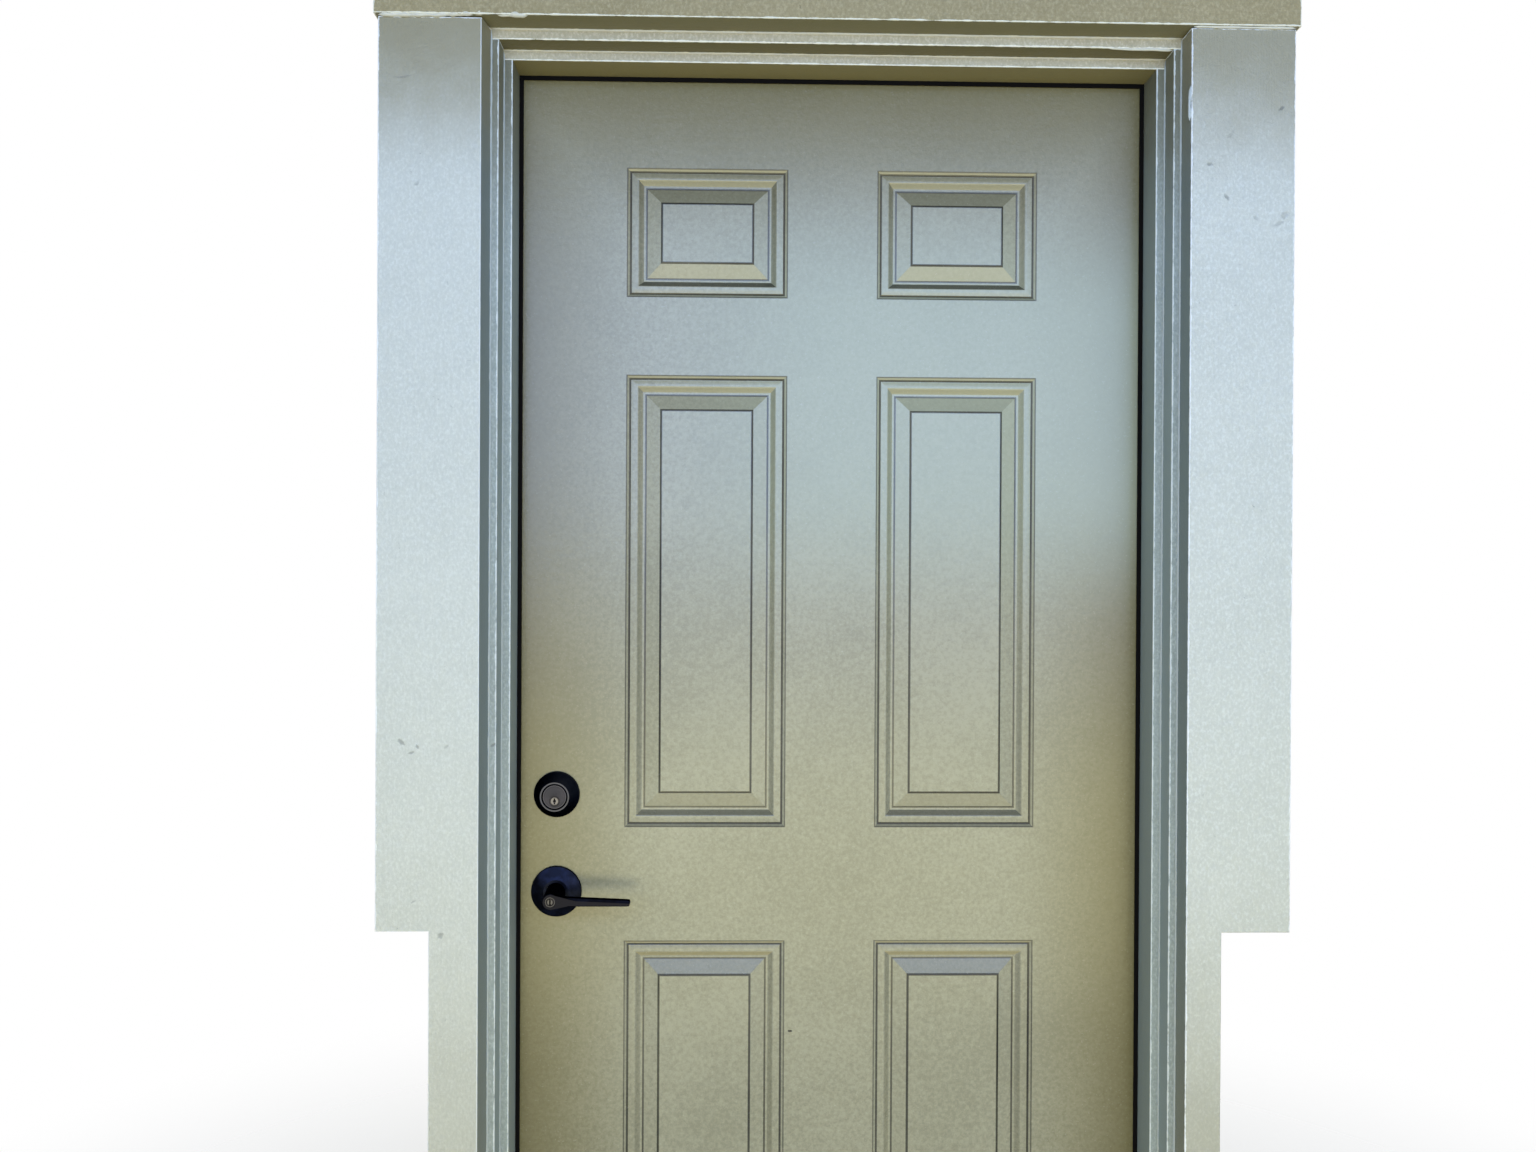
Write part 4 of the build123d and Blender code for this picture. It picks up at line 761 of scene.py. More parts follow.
        # Pale arrises: partly wear, partly painted highlight.
        wear_and_highlight = add_node(tree, "ShaderNodeMath", {"operation": "MAXIMUM"}, {
            0: self.arris_wear_and_highlight(tree, place),
            1: add_node(tree, "ShaderNodeAttribute", {"attribute_name": "wear_and_highlight"}).outputs["Fac"],
        })
        worn_and_lit = add_node(tree, "ShaderNodeMix", {"data_type": "RGBA"}, {
            0: wear_and_highlight.outputs[0], 6: knocked.outputs[2], 7: linear(self.rubbed),
        })
        height = add_node(tree, "ShaderNodeMath", {"operation": "MULTIPLY_ADD"}, {
            0: specks.outputs["Fac"], 1: self.speck_relief, 2: bristles.outputs["Fac"],
        })
        scraped = add_node(tree, "ShaderNodeMath", {"operation": "MULTIPLY_ADD"}, {
            0: scrapes.outputs["Fac"], 1: self.scrape_relief, 2: height.outputs["Value"],
        })
        sunk = add_node(tree, "ShaderNodeMath", {"operation": "SUBTRACT"}, {
            0: scraped.outputs["Value"], 1: pit_mask.outputs["Result"],
        })
        bump = add_node(tree, "ShaderNodeBump", None, {
            "Height": sunk.outputs["Value"], "Strength": 1.0, "Distance": self.relief,
        })
        return add_node(tree, "ShaderNodeBsdfPrincipled", None, {
            "Base Color": worn_and_lit.outputs[2], "Roughness": self.roughness, "Normal": bump.outputs["Normal"],
            "IOR": self.index,
        }).outputs["BSDF"]


@dataclass(frozen=True)
class CastMetal(Finish):
    """Cast and plated lock metal, with a fine tooth from its plating.

    The eye sees a dark or dull sheet of reflection that breaks up a little, and turns paler on turned rings
    about an axis and on faces that look straight out or in, partly where hands and keys rub and partly as a
    painted highlight.
    """

    colour: str = "#0f1119"
    rubbed: str = "#181c2c"
    # Pale colour of the rings and front faces: partly wear, partly painted highlight.
    bright: str = "#55545b"
    glance: str = "#565a68"
    roughness: float = 0.34
    roughness_spread: float = 0.07
    haze_mm: float = 14.0
    handled_range: tuple[float, float] = (0.45, 0.7)
    tooth_mm: float = 1.2
    tooth_height: float = 0.00002
    front_highlight_share: float = 0.0
    front_highlight_turn: tuple[float, float] = (0.96, 0.995)
    axis: tuple[float, float] = (-0.388, 0.8855)
    reach_mm: float = 40.0
    rings: tuple[tuple[float, float], ...] = ()

    def ring_wear_and_highlight(self, tree: bpy.types.NodeTree, place: bpy.types.NodeSocket) -> bpy.types.NodeSocket:
        """Work out the rings turned about the axis, paler partly from wear and partly as painted highlights.

        Args:
            tree: The metal's node tree.
            place: Object coordinates.

        Returns:
            The wear and highlight, from 0 to 1.
        """
        flat = add_node(tree, "ShaderNodeVectorMath", {"operation": "MULTIPLY"}, {
            0: place, 1: (1.0, 0.0, 1.0),
        })
        away = add_node(tree, "ShaderNodeVectorMath", {"operation": "DISTANCE"}, {
            0: flat.outputs[0], 1: (self.axis[0], 0.0, self.axis[1]),
        })
        share = add_node(tree, "ShaderNodeMath", {"operation": "DIVIDE"}, {
            0: away.outputs["Value"], 1: self.reach_mm * MM,
        })
        ramp = add_node(tree, "ShaderNodeValToRGB", None, {0: share.outputs[0]})
        stops = ramp.color_ramp.elements
        for radius_mm, wear_and_highlight in self.rings:
            stop = stops.new(radius_mm / self.reach_mm)
            stop.color = (wear_and_highlight, wear_and_highlight, wear_and_highlight, 1.0)
        stops[0].color = (0.0, 0.0, 0.0, 1.0)
        stops[len(stops) - 1].color = (0.0, 0.0, 0.0, 1.0)
        return ramp.outputs["Color"]

    def surface(self, tree: bpy.types.NodeTree) -> bpy.types.NodeSocket:
        """Build the metal's shader.

        Args:
            tree: The material's empty node tree.

        Returns:
            The shader's output.
        """
        place = add_node(tree, "ShaderNodeTexCoord").outputs["Object"]
        haze = add_node(tree, "ShaderNodeTexNoise", None, {
            "Vector": place, "Scale": cells(self.haze_mm), "Detail": 4.0, "Roughness": 0.6,
        })
        handled = add_node(tree, "ShaderNodeMapRange", None, {
            "Value": haze.outputs["Fac"], "From Min": self.handled_range[0],
            "From Max": self.handled_range[1],
        })
        tint = add_node(tree, "ShaderNodeMix", {"data_type": "RGBA"}, {
            0: handled.outputs["Result"], 6: linear(self.colour), 7: linear(self.rubbed),
        })
        facing = add_node(tree, "ShaderNodeSeparateXYZ", None, {
            0: add_node(tree, "ShaderNodeTexCoord").outputs["Normal"],
        })
        flat = add_node(tree, "ShaderNodeMath", {"operation": "ABSOLUTE"}, {0: facing.outputs["Y"]})
        # Painted highlight on faces that look straight out or in, with some wear.
        front = add_node(tree, "ShaderNodeMapRange", None, {
            "Value": flat.outputs[0], "From Min": self.front_highlight_turn[0], "From Max": self.front_highlight_turn[1],
            "To Max": self.front_highlight_share,
        })
        wear_and_highlight = front.outputs["Result"]
        if self.rings:
            wear_and_highlight = add_node(tree, "ShaderNodeMath", {"operation": "MAXIMUM"}, {
                0: wear_and_highlight, 1: self.ring_wear_and_highlight(tree, place),
            }).outputs[0]
        worn_and_lit = add_node(tree, "ShaderNodeMix", {"data_type": "RGBA"}, {
            0: wear_and_highlight, 6: tint.outputs[2], 7: linear(self.bright),
        })
        tooth = add_node(tree, "ShaderNodeTexNoise", None, {
            "Vector": place, "Scale": cells(self.tooth_mm), "Detail": 1.0,
        })
        bump = add_node(tree, "ShaderNodeBump", None, {
            "Height": tooth.outputs["Fac"], "Strength": 1.0, "Distance": self.tooth_height,
        })
        gloss = add_node(tree, "ShaderNodeMapRange", None, {
            "Value": haze.outputs["Fac"], "To Min": self.roughness - self.roughness_spread,
            "To Max": self.roughness + self.roughness_spread,
        })
        return add_node(tree, "ShaderNodeBsdfPrincipled", None, {
            "Base Color": worn_and_lit.outputs[2], "Metallic": 1.0, "Roughness": gloss.outputs["Result"],
            "Normal": bump.outputs["Normal"], "Specular Tint": linear(self.glance),
        }).outputs["BSDF"]


@dataclass(frozen=True)
class DrawnMetal(Finish):
    """Rolled, stamped or extruded metal with fine lines along its length.

    The eye sees a pale metal whose highlight is drawn out across the lines.
    """

    colour: str = "#9c9a95"
    streak: str = "#817f7b"
    roughness: float = 0.38
    roughness_spread: float = 0.1
    grain: Grain = Grain.UP
    # Draw lines are finer than 0.2 mm, drawn coarser so that they show.
    line_mm: float = 0.8
    line_squeeze: float = 0.03
    line_height: float = 0.02 * MM

    def surface(self, tree: bpy.types.NodeTree) -> bpy.types.NodeSocket:
        """Build the metal's shader.

        Args:
            tree: The material's empty node tree.

        Returns:
            The shader's output.
        """
        place = add_node(tree, "ShaderNodeTexCoord").outputs["Object"]
        scale = (1.0, 1.0, self.line_squeeze) if self.grain is Grain.UP else (self.line_squeeze, 1.0, 1.0)
        stretch = add_node(tree, "ShaderNodeMapping", None, {"Vector": place, "Scale": scale})
        lines = add_node(tree, "ShaderNodeTexNoise", None, {
            "Vector": stretch.outputs["Vector"], "Scale": cells(self.line_mm), "Detail": 2.0,
        })
        tint = add_node(tree, "ShaderNodeMix", {"data_type": "RGBA"}, {
            0: lines.outputs["Fac"], 6: linear(self.colour), 7: linear(self.streak),
        })
        gloss = add_node(tree, "ShaderNodeMapRange", None, {
            "Value": lines.outputs["Fac"], "To Min": self.roughness - self.roughness_spread,
            "To Max": self.roughness + self.roughness_spread,
        })
        bump = add_node(tree, "ShaderNodeBump", None, {
            "Height": lines.outputs["Fac"], "Strength": 1.0, "Distance": self.line_height,
        })
        return add_node(tree, "ShaderNodeBsdfPrincipled", None, {
            "Base Color": tint.outputs[2], "Metallic": 1.0, "Roughness": gloss.outputs["Result"],
            "Normal": bump.outputs["Normal"],
        }).outputs["BSDF"]


@dataclass(frozen=True)
class MouldedSynthetic(Finish):
    """Moulded, foamed or extruded plastic and rubber.

    The eye sees a dull even skin with a slight texture from its mould and a little dust.
    """

    colour: str = "#161616"
    dust: str = "#2a2926"
    roughness: float = 0.65
    index: float = 1.5
    texture_mm: float = 1.5
    texture_height: float = 0.00006
    dust_mm: float = 40.0

    def surface(self, tree: bpy.types.NodeTree) -> bpy.types.NodeSocket:
        """Build the plastic's shader.

        Args:
            tree: The material's empty node tree.

        Returns:
            The shader's output.
        """
        place = add_node(tree, "ShaderNodeTexCoord").outputs["Object"]
        dust = add_node(tree, "ShaderNodeTexNoise", None, {
            "Vector": place, "Scale": cells(self.dust_mm), "Detail": 6.0, "Roughness": 0.7,
        })
        tint = add_node(tree, "ShaderNodeMix", {"data_type": "RGBA"}, {
            0: dust.outputs["Fac"], 6: linear(self.colour), 7: linear(self.dust),
        })
        texture = add_node(tree, "ShaderNodeTexNoise", None, {
            "Vector": place, "Scale": cells(self.texture_mm), "Detail": 2.0,
        })
        bump = add_node(tree, "ShaderNodeBump", None, {
            "Height": texture.outputs["Fac"], "Strength": 1.0, "Distance": self.texture_height,
        })
        return add_node(tree, "ShaderNodeBsdfPrincipled", None, {
            "Base Color": tint.outputs[2], "Roughness": self.roughness, "Normal": bump.outputs["Normal"],
            "IOR": self.index,
        }).outputs["BSDF"]


@dataclass(frozen=True)
class SawnSoftwood(Finish):
    """Bare spruce from the saw, as the leaf's stiles and rails are.

    The eye sees straw-coloured wood with darker growth lines along its length and a furry surface.
    """

    colour: str = "#c9a877"
    line: str = "#9c7747"
    grain: Grain = Grain.UP
    roughness: float = 0.72
    ring_mm: float = 5.0
    ring_squeeze: float = 0.05
    ring_range: tuple[float, float] = (0.42, 0.6)
    ring_height: float = 0.2 * MM

    def surface(self, tree: bpy.types.NodeTree) -> bpy.types.NodeSocket:
        """Build the wood's shader.

        Args:
            tree: The material's empty node tree.

        Returns:
            The shader's output.
        """
        place = add_node(tree, "ShaderNodeTexCoord").outputs["Object"]
        scale = (1.0, 1.0, self.ring_squeeze) if self.grain is Grain.UP else (self.ring_squeeze, 1.0, 1.0)
        stretch = add_node(tree, "ShaderNodeMapping", None, {"Vector": place, "Scale": scale})
        rings = add_node(tree, "ShaderNodeTexNoise", None, {
            "Vector": stretch.outputs["Vector"], "Scale": cells(self.ring_mm), "Detail": 3.0,
            "Distortion": 0.4,
        })
        band = add_node(tree, "ShaderNodeMapRange", None, {
            "Value": rings.outputs["Fac"], "From Min": self.ring_range[0], "From Max": self.ring_range[1],
        })
        tint = add_node(tree, "ShaderNodeMix", {"data_type": "RGBA"}, {
            0: band.outputs["Result"], 6: linear(self.colour), 7: linear(self.line),
        })
        bump = add_node(tree, "ShaderNodeBump", None, {
            "Height": rings.outputs["Fac"], "Strength": 1.0, "Distance": self.ring_height,
        })
        return add_node(tree, "ShaderNodeBsdfPrincipled", None, {
            "Base Color": tint.outputs[2], "Roughness": self.roughness, "Normal": bump.outputs["Normal"],
        }).outputs["BSDF"]


@dataclass(frozen=True)
class StudioPaper(Finish):
    """Matt uncoated paper from a roll, laid as the floor.

    The eye sees an even pale sheet with a faint tooth, which fades away before its edge shows.
    """

    colour: str = "#e8e7e3"
    tooth_mm: float = 3.0
    tooth_height: float = 0.05 * MM
    lift: float = 0.5
    fade_start: float = 0.9
    fade_end: float = 2.3

    def surface(self, tree: bpy.types.NodeTree) -> bpy.types.NodeSocket:
        """Build the paper's shader.

        Args:
            tree: The material's empty node tree.

        Returns:
            The shader's output.
        """
        place = add_node(tree, "ShaderNodeTexCoord").outputs["Object"]
        reach = add_node(tree, "ShaderNodeVectorMath", {"operation": "LENGTH"}, {0: place})
        fade = add_node(tree, "ShaderNodeMapRange", {"interpolation_type": "SMOOTHSTEP"}, {
            "Value": reach.outputs["Value"], "From Min": self.fade_start, "From Max": self.fade_end,
        })
        tooth = add_node(tree, "ShaderNodeTexNoise", None, {"Vector": place, "Scale": cells(self.tooth_mm)})
        bump = add_node(tree, "ShaderNodeBump", None, {
            "Height": tooth.outputs["Fac"], "Distance": self.tooth_height,
        })
        paper = add_node(tree, "ShaderNodeBsdfDiffuse", None, {
            "Color": linear(self.colour), "Normal": bump.outputs["Normal"],
        })
        seen = add_node(tree, "ShaderNodeLightPath").outputs["Is Camera Ray"]
        lift = add_node(tree, "ShaderNodeMath", {"operation": "MULTIPLY"}, {0: seen, 1: self.lift})
        glow = add_node(tree, "ShaderNodeEmission", None, {
            "Color": linear(self.colour), "Strength": lift.outputs[0],
        })
        lifted = add_node(tree, "ShaderNodeAddShader", None, {0: paper.outputs[0], 1: glow.outputs[0]})
        clear = add_node(tree, "ShaderNodeBsdfTransparent")
        return add_node(tree, "ShaderNodeMixShader", None, {
            0: fade.outputs["Result"], 1: lifted.outputs["Shader"], 2: clear.outputs["BSDF"],
        }).outputs["Shader"]


LEAF_ENAMEL = SatinLeafEnamel("satin_enamel_on_pressed_steel")
# Casings with painted shade hanging from their tops, darker toward their feet.
LOCK_CASING_PAINT = BrushedHousePaint(
    "brushed_house_paint_on_lock_casing", top_shade_share=0.95, foot_darkening_share=0.45,
)
HINGE_CASING_PAINT = BrushedHousePaint(
    "brushed_house_paint_on_hinge_casing", board="hinge_casing", speck_share=0.8, relief=0.0006,
    top_shade_share=0.85, foot_darkening_share=0.75,
)
# The head casing is a darker, warmer copy of the casings' paint that paints in overhead shade, with painted
# shade on its underside.
SHADED_HEAD_CASING_PAINT = BrushedHousePaint(
    "shaded_house_paint_on_head_casing", board="head_casing", colour="#ac9c70", shade="#94865b",
    speck="#b8a981", rubbed="#f4eed2", pit="#5d573c", underside_shade="#7d7550", grain=Grain.ALONG,
)
# Upright trim and jamb paint, with painted shade on side faces and from the top; its pale arrises are partly
# painted highlights.
UPRIGHT_TRIM = {
    "colour": "#b4baae", "shade": "#9aa095", "speck": "#c4c9bf", "rubbed": "#e9ece2", "darkening": "#716b4b",
    "reveal_shade": "#94a09c", "top_shade_share": 0.85, "top_shade_reach": 0.3,
}
# The head trim and head jamb get a paler, warmer copy of the trim paint that paints in warm light from the
# ground, with painted shade on their undersides.
WARM_LIT_HEAD_TRIM = {
    "colour": "#c9bc97", "shade": "#b2a582", "speck": "#d8ccab", "rubbed": "#fbf3d6", "underside_shade": "#6f6640",
    "grain": Grain.ALONG,
}
LOCK_TRIM_PAINT = BrushedHousePaint(
    "brushed_house_paint_on_lock_trim", board="lock_stepped_trim", **UPRIGHT_TRIM,
)
HINGE_TRIM_PAINT = BrushedHousePaint(
    "brushed_house_paint_on_hinge_trim", board="hinge_stepped_trim", **UPRIGHT_TRIM,
)
WARM_LIT_HEAD_TRIM_PAINT = BrushedHousePaint(
    "warm_lit_house_paint_on_head_trim", board="head_stepped_trim", **WARM_LIT_HEAD_TRIM,
)
LOCK_JAMB_PAINT = BrushedHousePaint("brushed_house_paint_on_lock_jamb", board="lock_jamb", **UPRIGHT_TRIM)
HINGE_JAMB_PAINT = BrushedHousePaint("brushed_house_paint_on_hinge_jamb", board="hinge_jamb", **UPRIGHT_TRIM)
WARM_LIT_HEAD_JAMB_PAINT = BrushedHousePaint(
    "warm_lit_house_paint_on_head_jamb", board="head_jamb", **{**WARM_LIT_HEAD_TRIM, "underside_shade": "#90855a"},
)
DARK_BRONZE = CastMetal("dark_bronze_plate_on_cast_zinc")
# The lever's faces that look straight out get a painted highlight, with some wear.
DARK_LEVER = CastMetal("dark_bronze_plate_on_lever", bright="#1a1a21", front_highlight_share=0.9)
# A lighter, bluer colour than the other bronze that paints in the sky's blue reflection, and pale rings that
# are partly wear and partly painted highlights.
DARK_COLLAR = CastMetal(
    "dark_bronze_plate_on_turned_collar", colour="#1b1f2b", rubbed="#262a36", axis=(-0.388, 1.0232), rings=(
        (17.6, 0.0), (18.4, 0.1), (19.1, 0.55), (20.0, 0.55), (20.7, 0.05), (31.2, 0.0), (32.0, 0.2),
    ),
)
# Pale rings on the cylinder: partly wear, partly painted highlights.
WORN_NICKEL = CastMetal(
    "dull_worn_nickel", colour="#29292e", rubbed="#343236", bright="#5c5a61", roughness=0.42,
    axis=(-0.388, 1.0232), rings=((8.4, 0.1), (13.2, 0.12), (14.8, 0.0), (15.4, 0.35), (16.4, 0.4)),
)
# Pale ring round the key plug: partly wear, partly a painted highlight.
PLUG_NICKEL = CastMetal(
    "dull_worn_plug_nickel", colour="#232327", rubbed="#2f2e33", bright="#6f6c6e", roughness=0.36,
    axis=(-0.388, 1.0172), rings=((2.0, 0.0), (2.6, 0.9), (4.8, 0.7), (5.5, 0.0)),
)
# Pale rings round the lever's key plug: partly wear, partly painted highlights.
LEVER_PLUG_NICKEL = CastMetal(
    "dull_worn_lever_plug_nickel", colour="#15151b", rubbed="#1f1f26", bright="#5f5e64", roughness=0.34,
    rings=((1.2, 0.0), (2.0, 0.8), (3.6, 0.35), (4.6, 0.0), (5.4, 0.0), (6.2, 0.6)),
)
PAINTED_CAULK = MouldedSynthetic(
    "painted_caulk", colour="#b7bcb2", dust="#c9cdc4", roughness=0.5, texture_mm=3.0, texture_height=0.0002,
    dust_mm=9.0,
)
CREAM_CAULK = MouldedSynthetic(
    "cream_painted_caulk", colour="#cfc7a8", dust="#e4ddc3", roughness=0.45, texture_mm=3.0,
    texture_height=0.0002, dust_mm=9.0,
)
ZINC_STEEL = DrawnMetal("zinc_plated_steel", colour="#a3a5a8", streak="#8b8d90")
HINGE_STEEL = DrawnMetal("satin_nickel_hinge_steel", colour="#a19b90", streak="#878177", roughness=0.34)
MILL_ALUMINIUM = DrawnMetal(
    "mill_finish_aluminium", colour="#b9bbbd", streak="#a5a7aa", roughness=0.42, grain=Grain.ALONG,
    line_mm=1.4,
)
# Open foam traps light, so its skin shines far less than solid rubber.
SEAL_FOAM = MouldedSynthetic("black_seal_foam", colour="#0b0a09", dust="#151210", roughness=0.95, index=1.18)
SWEEP_VINYL = MouldedSynthetic("black_sweep_vinyl", colour="#131314", dust="#201f1d", roughness=0.5)
SILL_COMPOSITE = MouldedSynthetic("moulded_sill_composite", colour="#4a4742", dust="#5c5850", texture_mm=2.5)
CORE_FOAM = MouldedSynthetic("poured_insulating_foam", colour="#d9cfa8", dust="#cdc196", roughness=0.9)
UPRIGHT_SOFTWOOD = SawnSoftwood("sawn_softwood_upright")
LEVEL_SOFTWOOD = SawnSoftwood("sawn_softwood_level", grain=Grain.ALONG)
STUDIO_PAPER = StudioPaper("pale_studio_paper")


def sharpen(shape: bmesh.types.BMesh, least_degrees: float) -> None:
    """Keep the edges crisp where two faces turn from each other.

    Args:
        shape: The mesh, whose faces point outward.
        least_degrees: The smallest turn that stays crisp.
    """
    for edge in shape.edges:
        if len(edge.link_faces) == 2 and edge.calc_face_angle(0.0) > math.radians(least_degrees):
            edge.smooth = False


def mesh_piece(
    name: str, body: str, shape: bmesh.types.BMesh, finish: Finish
) -> bpy.types.Object:
    """Turn a finished bmesh into a piece that rides on a body.

    Args:
        name: The piece's name.
        body: The body that carries it.
        shape: Its mesh, which is freed here.
        finish: What it is covered with.

    Returns:
        The new piece.
    """
    mesh = bpy.data.meshes.new(name)
    shape.to_mesh(mesh)
    shape.free()
    mesh.shade_smooth()
    piece = bpy.data.objects.new(name, mesh)
    bpy.context.scene.collection.objects.link(piece)
    finish.dress(piece)
    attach(piece, body)
    log.info("%s: %d faces on %s", name, len(mesh.polygons), body)
    return piece


def dress_nodes(finish: Finish, names: Iterable[str]) -> None:
    """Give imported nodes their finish, with their shapes as they are.

    Args:
        finish: What they are covered with.
        names: The nodes.
    """
    for name in names:
        finish.dress(frame["nodes"][name])
        log.info("%s: dressed with %s", name, finish.name)


# How far a pattern moves along each axis for one step of its seed.
SEED_STEPS = (1.0, 2.3, 3.7)


def drift(point: Vector, spacing: float, seed: float) -> float:
    """Give a smooth value from -1 to 1 at a point, with swells about one spacing apart and its own seed."""
    return noise.noise(point / spacing + Vector([step * seed for step in SEED_STEPS]))


@dataclass(frozen=True)
class Dent:
    """A shallow knock or filled nail hole in a board's face, longer along its slant than across it, darkened
    partly by dirt and partly by painted shade.
    """

    x: float
    z: float
    radius: float = 4 * MM
    depth: float = 0.7 * MM
    dirt_and_shade: float = 0.55
    slant: float = 0.6
    stretch: float = 2.0
    raggedness: float = 0.5
    rim_swell: float = 3 * MM

    def away(self, x: float, z: float) -> float:
        """Measure how far a point lies from the middle.

        Args:
            x: The point's place along the doorway.
            z: Its height.

        Returns:
            The distance as a share of the way to the ragged rim.
        """
        along = (x - self.x) * math.cos(self.slant) + (z - self.z) * math.sin(self.slant)
        across = (z - self.z) * math.cos(self.slant) - (x - self.x) * math.sin(self.slant)
        ragged = 1 + self.raggedness * drift(Vector((x, self.x, z)), self.rim_swell, self.radius)
        return math.hypot(along, across * self.stretch) / (self.radius * ragged)


@dataclass
class Board:
    """One painted board, as a front face with worn arrises, four or six sides and a back.

    Its outline is its box from the frame, less a corner cut out of it where it has a narrow foot. Swells are
    pairs of the spacing between them and how much they take part.
    """

    node: str
    body: str
    finish: Finish
    slot: str
    seed: float
    arris: float = 1.5 * MM
    arris_swell: tuple[float, float] = (60 * MM, 0.35)
    wave: float = 0.35 * MM
    wave_spacing: float = 90 * MM
    wave_lead_in: float = 6 * MM
    nick: float = 1.3 * MM
    # A nick starts where its pattern rises past the second value.
    nick_swells: tuple[tuple[float, float], ...] = ((13 * MM, 0.35), (5 * MM, 0.5))
    cell: float = 9 * MM
    least_cell: float = 0.15 * MM
    dent_steps: int = 6
    crisp_degrees: float = 35.0
    foot: tuple[float, float] | None = None
    splay: float = 0.0
    splay_reach: float = 25 * MM
    touching: float = 0.1 * MM
    # On a splayed board, a thin band this far in from every edge gets a painted highlight that is partly
    # rubbed paint.
    wear_and_highlight_start: float = 0.1 * MM
    wear_and_highlight_width: float = 1.2 * MM
    dents: tuple[Dent, ...] = ()
    edge_steps: tuple[float, ...] = (0.0, 0.4 * MM, 0.9 * MM, 1.6 * MM, 2.6 * MM, 4.5 * MM)

    def __post_init__(self) -> None:
        """Read the board's box from the frame, and which of its sides is next to the doorway."""
        self.low, self.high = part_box(self.node)
        self.inner = min((self.low.x, self.high.x), key=abs)

    def lines(
        self, low: float, high: float, breaks: Iterable[float], centres: Iterable[float]
    ) -> list[float]:
        """Lay grid lines between two edges, close together at edges, breaks and dents.

        Args:
            low: The lower edge.
            high: The upper edge.
            breaks: Further edges between them.
            centres: Middles of dents between them.

        Returns:
            The lines in order.
        """
        edges = sorted({low, high, *breaks})
        kept: set[float] = set()
        for first, last in zip(edges, edges[1:]):
            count = max(1, round((last - first) / self.cell))
            kept.update(first + (last - first) * step / count for step in range(count + 1))
            for inset in self.edge_steps:
                kept.update((first + inset, last - inset))
        for centre in centres:
            kept.update(centre + step * MM for step in range(-self.dent_steps, self.dent_steps + 1))
        ordered = sorted(value for value in kept if low <= value <= high)
        tidy = [ordered[0]]
        for value in ordered[1:]:
            if value - tidy[-1] > self.least_cell or value in edges:
                tidy.append(value)
        return tidy

    def inside(self, x: float, z: float) -> bool:
        """Say whether a point of the face is on the board and not in the corner cut from it.

        Args:
            x: Place along the doorway.
            z: Height.

        Returns:
            True on the board.
        """
        if self.foot is None:
            return True
        width, height = self.foot
        return z > height or abs(x) < abs(self.inner) + width

    def edge_distance(self, x: float, z: float) -> float:
        """Measure how far a point of the face is from the nearest edge of the outline.

        Args:
            x: Place along the doorway.
            z: Height.

        Returns:
            The distance, never below zero.
        """
        distances = [x - self.low.x, self.high.x - x, z - self.low.z, self.high.z - z]
        if self.foot is not None:
            width, height = self.foot
            past_width = abs(x) - (abs(self.inner) + width)
            past_height = z - height
            if past_width <= 0 and past_height <= 0:
                distances.append(-past_width)
            elif past_width >= 0 and past_height >= 0:
                distances.append(past_height)
            else:
                distances.append(math.hypot(past_width, past_height))
        return max(0.0, min(distances))

    def splayed(self, x: float) -> float:
        """Draw the face in at the edge next to the doorway, where the board's edge is planed off square."""
        pull = max(0.0, 1 - abs(x - self.inner) / self.splay_reach) * self.splay
        return x + math.copysign(pull, self.inner)

    def sink(self, x: float, z: float) -> tuple[float, float]:
        """Work out how far the face drops at a point, and how much dirt and painted shade darken it there.

        Args:
            x: Place along the doorway.
            z: Height.

        Returns:
            The drop, and the dirt and shade from 0 to 1.
        """
        place = Vector((x, 0.0, z))
        distance = self.edge_distance(x, z)
        # Nicks, arris and waves wander apart from each other, each with a seed of its own.
        nicked = sum(
            max(0.0, drift(place, spacing, self.seed) - start) for spacing, start in self.nick_swells
        )
        spacing, share = self.arris_swell
        radius = self.arris * (1.0 + share * drift(place, spacing, self.seed + 4)) + self.nick * nicked
        drop = 0.0
        if distance < radius:
            drop = radius - math.sqrt(max(0.0, radius * radius - (radius - distance) ** 2))
        swell = 0.5 * (1.0 + drift(place, self.wave_spacing, self.seed + 8))
        drop += self.wave * swell * min(1.0, distance / self.wave_lead_in)
        dirt_and_shade = 0.0
        for dent in self.dents:
            away = dent.away(x, z)
            if away < 1:
                drop += dent.depth * (1 - away * away)
                dirt_and_shade = max(dirt_and_shade, dent.dirt_and_shade * (1 - away ** 4))
        return drop, dirt_and_shade

    def build(self) -> bpy.types.Object:
        """Mesh the board over its node and let it stand for that node.

        Returns:
            The board.
        """
        breaks_x: list[float] = []
        breaks_z: list[float] = []
        if self.foot is not None:
            width, height = self.foot
            breaks_x.append(self.inner + math.copysign(width, self.inner))
            breaks_z.append(height)
        xs = self.lines(self.low.x, self.high.x, breaks_x, (dent.x for dent in self.dents))
        zs = self.lines(self.low.z, self.high.z, breaks_z, (dent.z for dent in self.dents))
        shape = bmesh.new()
        dirt_and_shade_layer = shape.verts.layers.float.new("dirt_and_shade")
        wear_and_highlight_layer = shape.verts.layers.float.new("wear_and_highlight")
        grid: dict[tuple[int, int], bmesh.types.BMVert] = {}

